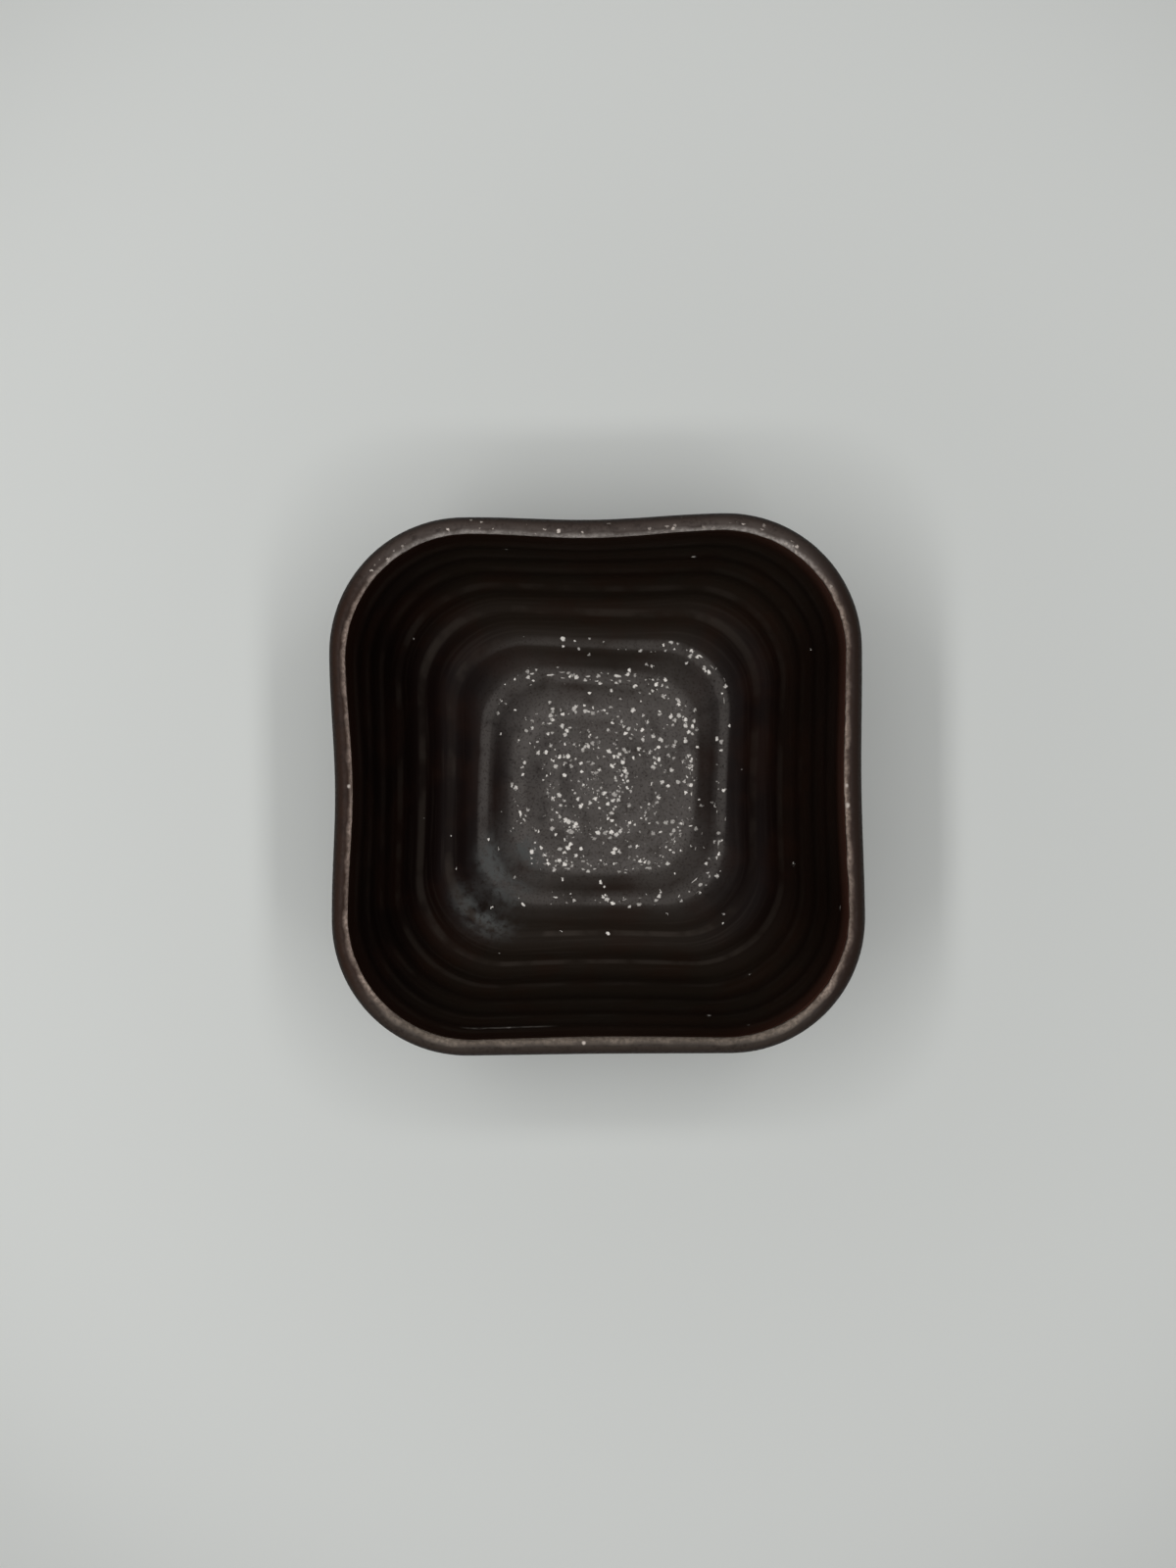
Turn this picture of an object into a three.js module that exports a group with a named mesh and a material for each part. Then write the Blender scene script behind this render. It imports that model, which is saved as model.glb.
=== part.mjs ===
// A small hand-squared stoneware bowl: a clay body, a luted foot ring and three glaze coats.
// Millimetres, +Z up. The origin is on the table, under the middle of the bowl.
import * as THREE from 'three';

// The finished bowl
const bowlWidth = 110;
const bowlDepth = 111.4;
const bowlHeight = 55;

// The mouth seen from above: four round corners, each pressed a little differently by hand.
// They run counter-clockwise from the back right corner.
const cornerRadius = 27.8;
const corners = [
  { sideX: 1, sideY: 1, driftX: -1.0, driftY: 0 },
  { sideX: -1, sideY: 1, driftX: 0, driftY: -0.7 },
  { sideX: -1, sideY: -1, driftX: 0.2, driftY: 0 },
  { sideX: 1, sideY: -1, driftX: 0, driftY: 0.7 },
];

// How far each side of the lip is pinched in at its middle, and how far down the wall that reaches
const rightPinch = 0.4;
const backPinch = 0.9;
const leftPinch = 0.9;
const frontPinch = 0.1;
const pinchDrop = 26;

// How fast the plan turns from round at the axis to square at the rim
const squaringPower = 2.2;

// The clay wall, floor and lip
const floorThickness = 3.8;
const flatFloorRadius = 21.5;
const lipThickness = 2.8;
const lipInnerRound = 0.7;
const lipInnerDrop = 0.8;
const lipOuterDrop = 3.3;

// How the curves of the wall lie inside the rim and above the base
const coveInset = 14.4;
const springInset = 4.9;
const springRise = 6.6;
const bellyInset = 0.9;
const bellyRise = 13.3;
const heelInset = 11.5;
const heelRise = 2;

// The foot ring under the floor
const footRadius = 29;
const footWidth = 5.5;
const footHeight = 5;
const footTaper = 0.6;
const footEdge = 0.9;
const footLedge = 1.5;

// The glaze coats
const glazeThickness = 0.5;
const glazeBed = 0.15;
const glazeSeam = 0.15;
const glazeLineRise = 3.5;

// The throwing ring: one groove that winds outwards counter-clockwise and up the wall
const ringPitch = 8.35;
const ringStartAngle = 295;
const floorRingDepth = 0.35;
const wallRingDepth = 0.18;
const ringFadeLength = 10;

// Facets
const columns = 48;
const insideSteps = 17;
const ringSteps = 40;
const lipSteps = 3;
const wallSteps = 10;
const heelSteps = 3;
const glazeLineHalvings = 24;

// Sizes that follow from the ones above
const coatReach = glazeBed + glazeThickness;
const rimRadius = (bowlWidth + bowlDepth) / 4;
const clayRimRadius = rimRadius - coatReach;
const clayLipRadius = clayRimRadius - lipThickness;
const lipCrestRadius = clayLipRadius + lipInnerRound;
const clayTop = bowlHeight - coatReach;
const lipInnerHeight = clayTop - lipInnerDrop;
const lipOuterHeight = clayTop - lipOuterDrop;
const floorHeight = footHeight + floorThickness;
const baseRadius = footRadius + footTaper + footLedge;

// Centres of the corner arcs, and the pinch of the side that leads up to each corner
const cornerCentres = corners.map(({ sideX, sideY, driftX, driftY }) => new THREE.Vector2(
  sideX * (bowlWidth / 2 - cornerRadius) + driftX,
  sideY * (bowlDepth / 2 - cornerRadius) + driftY,
));
const sidePinches = [rightPinch, backPinch, leftPinch, frontPinch];

// The mouth in one direction from the axis: how far it reaches, along a straight side or round
// a corner arc, and how far the pinch then draws it in.
function mouth(angle) {
  const ray = new THREE.Vector2(Math.cos(angle), Math.sin(angle));
  for (const [side, end] of cornerCentres.entries()) {
    const start = cornerCentres.at(side - 1);
    const run = end.clone().sub(start);
    const outward = new THREE.Vector2(run.y, -run.x).normalize();
    const reach = (start.dot(outward) + cornerRadius) / ray.dot(outward);
    const share = ray.clone().multiplyScalar(reach).sub(start).dot(run) / run.lengthSq();
    if (reach > 0 && share >= 0 && share <= 1) {
      return { reach, pinch: sidePinches[side] * Math.sin(Math.PI * share) ** 2 };
    }
  }
  const reaches = cornerCentres.map((centre) => {
    const along = ray.dot(centre);
    return along + Math.sqrt(Math.max(along ** 2 - centre.lengthSq() + cornerRadius ** 2, 0));
  });
  return { reach: Math.max(...reaches), pinch: 0 };
}

// A round radius pulled out to the square plan: round at the axis, the whole outline at the lip.
function squaredRadius(radius, height, angle) {
  const { reach, pinch } = mouth(angle);
  const pull = Math.sin(Math.PI / 2 * Math.min(radius / rimRadius, 1)) ** squaringPower;
  const pinched = THREE.MathUtils.smoothstep(height, bowlHeight - pinchDrop, lipOuterHeight);
  return radius + pull * (reach - rimRadius - pinched * pinch);
}

// The clay's section, from the middle of the floor up the inside, over the lip and down the outside
const floorEdge = new THREE.Vector2(flatFloorRadius, floorHeight);
const lipInside = new THREE.Vector2(clayLipRadius, lipInnerHeight);
const inside = new THREE.CurvePath();
inside.add(new THREE.LineCurve(new THREE.Vector2(0, floorHeight), floorEdge));
inside.add(new THREE.CubicBezierCurve(
  floorEdge,
  new THREE.Vector2(clayRimRadius - coveInset, floorHeight),
  new THREE.Vector2(clayRimRadius - springInset, floorHeight + springRise),
  lipInside,
));

const lipInner = new THREE.EllipseCurve(
  lipCrestRadius, lipInnerHeight,
  lipInnerRound, lipInnerDrop,
  Math.PI, Math.PI / 2, true,
);
const lipOuter = new THREE.EllipseCurve(
  lipCrestRadius, lipOuterHeight,
  clayRimRadius - lipCrestRadius, lipOuterDrop,
  Math.PI / 2, 0, true,
);

const outside = new THREE.CubicBezierCurve(
  new THREE.Vector2(clayRimRadius, lipOuterHeight),
  new THREE.Vector2(clayRimRadius - bellyInset, footHeight + bellyRise),
  new THREE.Vector2(clayRimRadius - heelInset, footHeight + heelRise),
  new THREE.Vector2(baseRadius, footHeight),
);

const insideLength = inside.getLength();

// Points along a stretch of the section, each with its outward normal and distance from the start.
function stations(curve, from, to, steps) {
  const length = curve.getLength();
  return Array.from({ length: steps + 1 }, (_, step) => {
    const share = from + (to - from) * step / steps;
    const point = curve.getPoint(share);
    const tangent = curve.getTangent(share);
    const normal = new THREE.Vector2(-tangent.y, tangent.x);
    return { point, normal, along: share * length, swell: 0 };
  });
}

// The same stations moved out from the clay.
function raised(list, height) {
  return list.map((station) => ({
    ...station,
    point: station.point.clone().addScaledVector(station.normal, height),
  }));
}

// Half the height of the throwing ring: none at the axis, full on the floor, faint up the wall.
function ringDepth(along) {
  const { lerp, smoothstep } = THREE.MathUtils;
  const rise = smoothstep(along, 0, ringPitch);
  const climb = smoothstep(along, flatFloorRadius, insideLength - ringFadeLength);
  const fade = 1 - smoothstep(along, insideLength - ringFadeLength, insideLength);
  return rise * fade * lerp(floorRingDepth, wallRingDepth, climb);
}

// Height of the wound ring above the bottom of its groove.
function ringSwell(along, angle) {
  const turn = 2 * Math.PI * along / ringPitch - angle + THREE.MathUtils.degToRad(ringStartAngle);
  return ringDepth(along) * (1 - Math.cos(turn));
}

// A closed section turned round the axis, then pressed square.
function thrown(section) {
  const geometry = new THREE.LatheGeometry(section.map(({ point }) => point), columns);
  const { position } = geometry.attributes;
  for (let vertex = 0; vertex < position.count; vertex += 1) {
    const { point, normal, along, swell } = section[vertex % section.length];
    const column = Math.floor(vertex / section.length) % columns;
    const angle = 2 * Math.PI * column / columns;
    const swollen = point.clone().addScaledVector(normal, swell * ringSwell(along, angle));
    const radius = squaredRadius(swollen.x, swollen.y, angle);
    position.setXYZ(vertex, radius * Math.cos(angle), radius * Math.sin(angle), swollen.y);
  }
  geometry.computeVertexNormals();
  return geometry;
}

// A bare corner of a section, which no ring swells.
function corner(radius, height) {
  const point = new THREE.Vector2(radius, height);
  return { point, normal: new THREE.Vector2(0, 0), along: 0, swell: 0 };
}

// A glaze coat: its back lies just off the clay and its face a glaze thickness further out.
function coat(backing) {
  const back = raised(backing, glazeBed);
  const face = raised(backing, coatReach).reverse();
  return thrown([...back, ...face, back[0]]);
}

// Where the outside glaze stops, as a share of the outside curve, found by halving.
function glazeLineShare() {
  let above = 0;
  let below = 1;
  for (let halving = 0; halving < glazeLineHalvings; halving += 1) {
    const middle = (above + below) / 2;
    if (outside.getPoint(middle).y > footHeight + glazeLineRise) {
      above = middle;
    } else {
      below = middle;
    }
  }
  return above;
}

const insideBacking = stations(inside, 0, 1, insideSteps);
const lipBacking = [
  ...stations(lipInner, 0, 1, lipSteps),
  ...stations(lipOuter, 0, 1, lipSteps).slice(1),
];
const glazeStop = glazeLineShare();
const wallBacking = stations(outside, 0, glazeStop, wallSteps);
const heel = stations(outside, glazeStop, 1, heelSteps);

// The clay body, listed from its underside up the outside and down the inside.
function makeBody() {
  const skin = [
    ...insideBacking,
    ...lipBacking.slice(1),
    ...wallBacking.slice(1),
    ...heel.slice(1),
  ];
  return thrown([...skin, corner(0, footHeight)].reverse());
}

// The foot ring: tapered towards the table, with its bottom edges eased.
function makeFootRing() {
  const inner = footRadius - footWidth;
  const section = [
    corner(inner + footEdge, 0),
    corner(footRadius - footEdge, 0),
    corner(footRadius, footEdge),
    corner(footRadius + footTaper, footHeight),
    corner(inner - footTaper, footHeight),
    corner(inner, footEdge),
  ];
  return thrown([...section, section[0]]);
}

// The inside coat, thick enough everywhere to carry the throwing ring on its face.
function makeLiner() {
  const back = raised(insideBacking, glazeBed);
  const face = raised(stations(inside, 0, 1, ringSteps), coatReach);
  const wound = face.map((station) => ({ ...station, swell: 1 }));
  return thrown([...back, ...wound.reverse()]);
}

// The band over the lip, kept clear of the coats on either side of it.
function makeRimBand() {
  return coat([
    ...stations(lipInner, glazeSeam / lipInner.getLength(), 1, lipSteps),
    ...stations(lipOuter, 0, 1 - glazeSeam / lipOuter.getLength(), lipSteps).slice(1),
  ]);
}

function piece(name, geometry, color, roughness) {
  const material = new THREE.MeshStandardMaterial({ color, roughness, metalness: 0 });
  const mesh = new THREE.Mesh(geometry, material);
  mesh.name = name;
  return mesh;
}

const bowl = new THREE.Group();
bowl.add(
  piece('stoneware_body', makeBody(), 0x6a5140, 0.9),
  piece('foot_ring', makeFootRing(), 0x74594a, 0.9),
  piece('liner_glaze', makeLiner(), 0x15100e, 0.3),
  piece('rim_glaze', makeRimBand(), 0x4a3b33, 0.55),
  piece('outer_glaze', coat(wallBacking), 0x2c201b, 0.45),
);

export default bowl;
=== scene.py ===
"""A small hand-squared stoneware bowl, dressed: thrown clay, a trimmed foot and three dark glaze coats.

Sizes are in millimetres until a mesh is made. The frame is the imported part's own: +Z up, the origin
on the table under the middle of the bowl.
"""

import bisect
import logging
import math
from dataclasses import dataclass, field
from enum import Enum
from functools import cache, cached_property, partial, reduce
from itertools import accumulate, chain, pairwise
from typing import Callable

import bmesh
import bpy
from mathutils import Matrix, Vector


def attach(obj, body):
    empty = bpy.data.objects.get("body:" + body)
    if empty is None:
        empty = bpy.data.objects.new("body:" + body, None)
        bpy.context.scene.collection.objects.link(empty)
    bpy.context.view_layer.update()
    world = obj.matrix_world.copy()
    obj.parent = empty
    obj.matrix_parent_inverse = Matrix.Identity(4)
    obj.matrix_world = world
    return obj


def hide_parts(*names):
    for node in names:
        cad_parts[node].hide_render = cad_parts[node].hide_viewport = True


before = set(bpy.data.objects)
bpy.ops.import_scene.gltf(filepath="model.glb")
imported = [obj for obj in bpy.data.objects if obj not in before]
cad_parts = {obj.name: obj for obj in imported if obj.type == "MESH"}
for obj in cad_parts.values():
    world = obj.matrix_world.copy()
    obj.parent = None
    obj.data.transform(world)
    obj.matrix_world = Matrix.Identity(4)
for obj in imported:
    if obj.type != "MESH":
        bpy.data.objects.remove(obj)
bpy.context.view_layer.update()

LOG = logging.getLogger("bowl")
MM = 0.001
FINE_STEPS = 240

Colour = tuple[float, float, float]
Relief = Callable[[float, float], float]
Element = bmesh.types.BMVert | bmesh.types.BMEdge
Socket = bpy.types.NodeSocket
Feed = Socket | float | tuple


class Slot(Enum):
    """The record's material slots."""

    CLAY = "clay"
    FOOT = "foot_clay"
    LINER = "liner"
    RIM = "rim"
    OUTSIDE = "outside"


class Trace(Enum):
    """What every vertex remembers for its finish."""

    ALONG = "along"
    CREST = "crest"
    WRAP = "wrap"


class Run(Enum):
    """The way a light strip runs."""

    ALONG_X = "x"
    ALONG_Y = "y"


class Mark(Enum):
    """What a vertex remembers only while its piece is thrown."""

    LIFT = "lift"
    SHOWN = "shown"


def smoothstep(value: float, low: float, high: float) -> float:
    """Eases from 0 at low to 1 at high.

    Args:
        value: The value to ease.
        low: Where the result leaves 0.
        high: Where the result reaches 1.

    Returns:
        A number from 0 to 1.
    """
    share = min(max((value - low) / (high - low), 0.0), 1.0)
    return share * share * (3.0 - 2.0 * share)


@dataclass(frozen=True)
class Corner:
    """One round corner of the mouth: the way it lies and how far the hand pushed it."""

    side_x: int
    side_y: int
    drift_x: float
    drift_y: float


@dataclass(frozen=True)
class Reach:
    """The mouth in one direction: how far it goes and how far the pinch draws it in."""

    length: float
    pinch: float


@dataclass
class Mouth:
    """The plan of the bowl, pressed square by hand, with corners and sides counter-clockwise."""

    width: float = 110.0
    depth: float = 111.4
    corner_radius: float = 27.8
    corners: tuple[Corner, ...] = (
        Corner(1, 1, -1.0, 0.0),
        Corner(-1, 1, 0.0, -0.7),
        Corner(-1, -1, 0.2, 0.0),
        Corner(1, -1, 0.0, 0.7),
    )
    right_pinch: float = 0.4
    back_pinch: float = 0.9
    left_pinch: float = 0.9
    front_pinch: float = 0.1
    pinch_bottom: float = 29.0
    pinch_top: float = 51.05
    squaring_power: float = 2.2

    @property
    def rim_radius(self) -> float:
        """The radius of a round mouth of the same size."""
        return (self.width + self.depth) / 4

    @cached_property
    def centres(self) -> list[Vector]:
        """The centres of the corner arcs."""
        return [
            Vector((
                corner.side_x * (self.width / 2 - self.corner_radius) + corner.drift_x,
                corner.side_y * (self.depth / 2 - self.corner_radius) + corner.drift_y,
            ))
            for corner in self.corners
        ]

    def reach(self, angle: float) -> Reach:
        """Measures the mouth in one direction from the axis.

        Args:
            angle: The direction, counter-clockwise from +X.

        Returns:
            How far the mouth reaches there, along a straight side or round a corner arc, and its pinch.
        """
        ray = Vector((math.cos(angle), math.sin(angle)))
        pinches = (self.right_pinch, self.back_pinch, self.left_pinch, self.front_pinch)
        for side, end in enumerate(self.centres):
            start = self.centres[side - 1]
            run = end - start
            outward = Vector((run.y, -run.x)).normalized()
            facing = ray.dot(outward)
            if facing <= 0:
                continue
            length = (start.dot(outward) + self.corner_radius) / facing
            share = (ray * length - start).dot(run) / run.length_squared
            if 0 <= share <= 1:
                return Reach(length, pinches[side] * math.sin(math.pi * share) ** 2)
        return Reach(max(self.arc_reach(ray, centre) for centre in self.centres), 0.0)

    def arc_reach(self, ray: Vector, centre: Vector) -> float:
        """Measures how far a ray from the axis goes before it leaves one corner's circle.

        Args:
            ray: The unit direction.
            centre: The centre of the corner's circle.

        Returns:
            The distance from the axis.
        """
        along = ray.dot(centre)
        inside = along ** 2 - centre.length_squared + self.corner_radius ** 2
        return along + math.sqrt(max(inside, 0.0))

    def pressed(self, radius: float, height: float, reach: Reach) -> float:
        """Pulls a round radius out to the square plan: round at the axis, the outline at the lip.

        Args:
            radius: The radius as thrown.
            height: The height above the table.
            reach: The mouth in that direction.

        Returns:
            The radius as pressed.
        """
        share = min(max(radius / self.rim_radius, 0.0), 1.0)
        pull = math.sin(math.pi / 2 * share) ** self.squaring_power
        pinched = smoothstep(height, self.pinch_bottom, self.pinch_top)
        return radius + pull * (reach.length - self.rim_radius - pinched * reach.pinch)


class Path:
    """A line of the bowl's section, walked by distance from its start."""

    def __init__(self, points: list[Vector]) -> None:
        """Measures the line.

        Args:
            points: Closely spaced points, each a radius and a height.
        """
        nearest = 1e-6
        self.points = [points[0]]
        for point in points[1:]:
            if (point - self.points[-1]).length > nearest:
                self.points.append(point)
        self.marks = [0.0]
        for start, end in pairwise(self.points):
            self.marks.append(self.marks[-1] + (end - start).length)
        runs = [(end - start).normalized() for start, end in pairwise(self.points)]
        middles = [(before + after).normalized() for before, after in pairwise(runs)]
        self.tangents = [runs[0], *middles, runs[-1]]

    @property
    def length(self) -> float:
        """The whole length of the line."""
        return self.marks[-1]

    @cache
    def station(self, along: float) -> tuple[Vector, Vector]:
        """Finds a point on the line and the way straight off it.

        Args:
            along: Distance from the start of the line.

        Returns:
            The point's radius and height, and the unit normal to the left of the way the line runs.
        """
        index = min(max(bisect.bisect_right(self.marks, along) - 1, 0), len(self.points) - 2)
        share = (along - self.marks[index]) / (self.marks[index + 1] - self.marks[index])
        tangent = self.tangents[index].lerp(self.tangents[index + 1], share).normalized()
        point = self.points[index].lerp(self.points[index + 1], share)
        return point, Vector((-tangent.y, tangent.x))

    def at(self, along: float, lift: float = 0.0) -> Vector:
        """Finds a point on the line or beside it.

        Args:
            along: Distance from the start of the line.
            lift: Height above the line, to the left of the way it runs.

        Returns:
            The point's radius and height.
        """
        point, normal = self.station(along)
        return point + lift * normal


def straight(start: Vector, end: Vector) -> list[Vector]:
    """Lists close points along a straight line from start to end."""
    return [start.lerp(end, step / FINE_STEPS) for step in range(FINE_STEPS + 1)]


def bezier(start: Vector, pull_out: Vector, pull_in: Vector, end: Vector) -> list[Vector]:
    """Lists close points along a cubic curve.

    Args:
        start: Where the curve starts.
        pull_out: The handle that the curve leaves towards.
        pull_in: The handle that the curve arrives from.
        end: Where the curve ends.

    Returns:
        The points in order.
    """
    points = []
    for step in range(FINE_STEPS + 1):
        share = step / FINE_STEPS
        rest = 1.0 - share
        points.append(
            start * rest ** 3
            + pull_out * (3 * rest ** 2 * share)
            + pull_in * (3 * rest * share ** 2)
            + end * share ** 3
        )
    return points


def ellipse(centre: Vector, radii: Vector, first: float, last: float) -> list[Vector]:
    """Lists close points along part of an ellipse.

    Args:
        centre: The ellipse's centre.
        radii: Its two radii.
        first: The angle it starts from, in degrees.
        last: The angle it ends at, in degrees.

    Returns:
        The points in order.
    """
    points = []
    for step in range(FINE_STEPS + 1):
        angle = math.radians(first + (last - first) * step / FINE_STEPS)
        points.append(centre + Vector((radii.x * math.cos(angle), radii.y * math.sin(angle))))
    return points


@dataclass
class Skin:
    """The clay's section: up the inside, over the lip, down the outside and across the underside."""

    mouth: Mouth
    height: float = 55.0
    floor_thickness: float = 3.8
    flat_floor_radius: float = 21.5
    lip_thickness: float = 2.8
    lip_inner_round: float = 0.7
    lip_inner_drop: float = 0.8
    lip_outer_drop: float = 3.3
    cove_inset: float = 14.4
    spring_inset: float = 4.9
    spring_rise: float = 6.6
    belly_inset: float = 0.9
    belly_rise: float = 13.3
    heel_inset: float = 11.5
    heel_rise: float = 2.0
    foot_height: float = 5.0
    base_radius: float = 31.1
    glaze_bed: float = 0.15
    glaze_thickness: float = 0.5
    glaze_line_rise: float = 3.5

    @property
    def coat_reach(self) -> float:
        """How far the face of a glaze coat lies off the clay."""
        return self.glaze_bed + self.glaze_thickness

    @property
    def rim_radius(self) -> float:
        """The clay's radius at the rim, as thrown."""
        return self.mouth.rim_radius - self.coat_reach

    @property
    def floor_height(self) -> float:
        """The height of the clay floor above the table."""
        return self.foot_height + self.floor_thickness

    @cached_property
    def inside(self) -> list[Vector]:
        """The line from the middle of the floor up to the lip."""
        lip_height = self.height - self.coat_reach - self.lip_inner_drop
        floor_edge = Vector((self.flat_floor_radius, self.floor_height))
        wall = bezier(
            floor_edge,
            Vector((self.rim_radius - self.cove_inset, self.floor_height)),
            Vector((self.rim_radius - self.spring_inset, self.floor_height + self.spring_rise)),
            Vector((self.rim_radius - self.lip_thickness, lip_height)),
        )
        return straight(Vector((0.0, self.floor_height)), floor_edge) + wall

    @cached_property
    def lip(self) -> list[Vector]:
        """The line over the lip: a tight inner round and a long outer one."""
        top = self.height - self.coat_reach
        crest = self.rim_radius - self.lip_thickness + self.lip_inner_round
        inner = ellipse(
            Vector((crest, top - self.lip_inner_drop)),
            Vector((self.lip_inner_round, self.lip_inner_drop)),
            180.0,
            90.0,
        )
        outer = ellipse(
            Vector((crest, top - self.lip_outer_drop)),
            Vector((self.rim_radius - crest, self.lip_outer_drop)),
            90.0,
            0.0,
        )
        return inner + outer

    @cached_property
    def outside(self) -> list[Vector]:
        """The line from the lip down the belly and round the heel to the base."""
        return bezier(
            self.lip[-1],
            Vector((self.rim_radius - self.belly_inset, self.foot_height + self.belly_rise)),
            Vector((self.rim_radius - self.heel_inset, self.foot_height + self.heel_rise)),
            Vector((self.base_radius, self.foot_height)),
        )

    @cached_property
    def path(self) -> Path:
        """The whole section, from the middle of the floor round to the middle of the underside."""
        underside = straight(self.outside[-1], Vector((0.0, self.foot_height)))
        return Path(self.inside + self.lip + self.outside + underside)

    @cached_property
    def lip_start(self) -> float:
        """Where the lip starts, as a distance along the section."""
        return Path(self.inside).length

    @cached_property
    def lip_end(self) -> float:
        """Where the lip ends and the outside starts."""
        return self.lip_start + Path(self.lip).length

    @cached_property
    def base(self) -> float:
        """Where the outside ends at the flat underside."""
        return self.lip_end + Path(self.outside).length

    @cached_property
    def glaze_line(self) -> float:
        """Where the outside glaze stops."""
        stop = self.foot_height + self.glaze_line_rise
        above = [point for point in self.outside if point.y > stop]
        return self.lip_end + Path(above).length


@dataclass(frozen=True)
class Stretch:
    """A stretch of a section, walked in equal steps at one height above the clay."""

    start: float
    end: float
    steps: int
    lift: float = 0.0
    shown: bool = True


@dataclass
class ThrowingRing:
    """The one groove that winds outwards counter-clockwise over the floor and up the wall."""

    skin: Skin
    pitch: float = 8.35
    start_angle: float = 295.0
    floor_depth: float = 0.35
    wall_depth: float = 0.18
    fade_length: float = 10.0
    drift: float = 0.45
    lean: float = 0.9
    lean_angle: float = 165.0

    def crest(self, along: float, angle: float) -> float:
        """Tells how near a place is to the crest between two turns.

        Args:
            along: Distance along the section.
            angle: Direction round the axis.

        Returns:
            0 in the groove and 1 on the crest.
        """
        turn = 2 * math.pi * along / self.pitch - angle + math.radians(self.start_angle)
        return (1.0 - math.cos(turn)) / 2

    def rubbed_crest(self, along: float, angle: float) -> float:
        """Tells how near a place is to the rubbed line, which lies off the crest, most on the left.

        Args:
            along: Distance along the section.
            angle: Direction round the axis.

        Returns:
            0 midway between two such lines and 1 on one.
        """
        shift = self.drift + self.lean * math.cos(angle - math.radians(self.lean_angle))
        return self.crest(along - shift, angle)

    def height(self, along: float, angle: float) -> float:
        """Measures the ring above the bottom of its groove.

        Args:
            along: Distance along the section.
            angle: Direction round the axis.

        Returns:
            The height, which is nothing at the axis and at the lip.
        """
        fade_start = self.skin.lip_start - self.fade_length
        rise = smoothstep(along, 0.0, self.pitch)
        climb = smoothstep(along, self.skin.flat_floor_radius, fade_start)
        fade = 1.0 - smoothstep(along, fade_start, self.skin.lip_start)
        depth = self.floor_depth + (self.wall_depth - self.floor_depth) * climb
        return 2 * depth * rise * fade * self.crest(along, angle)


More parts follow.
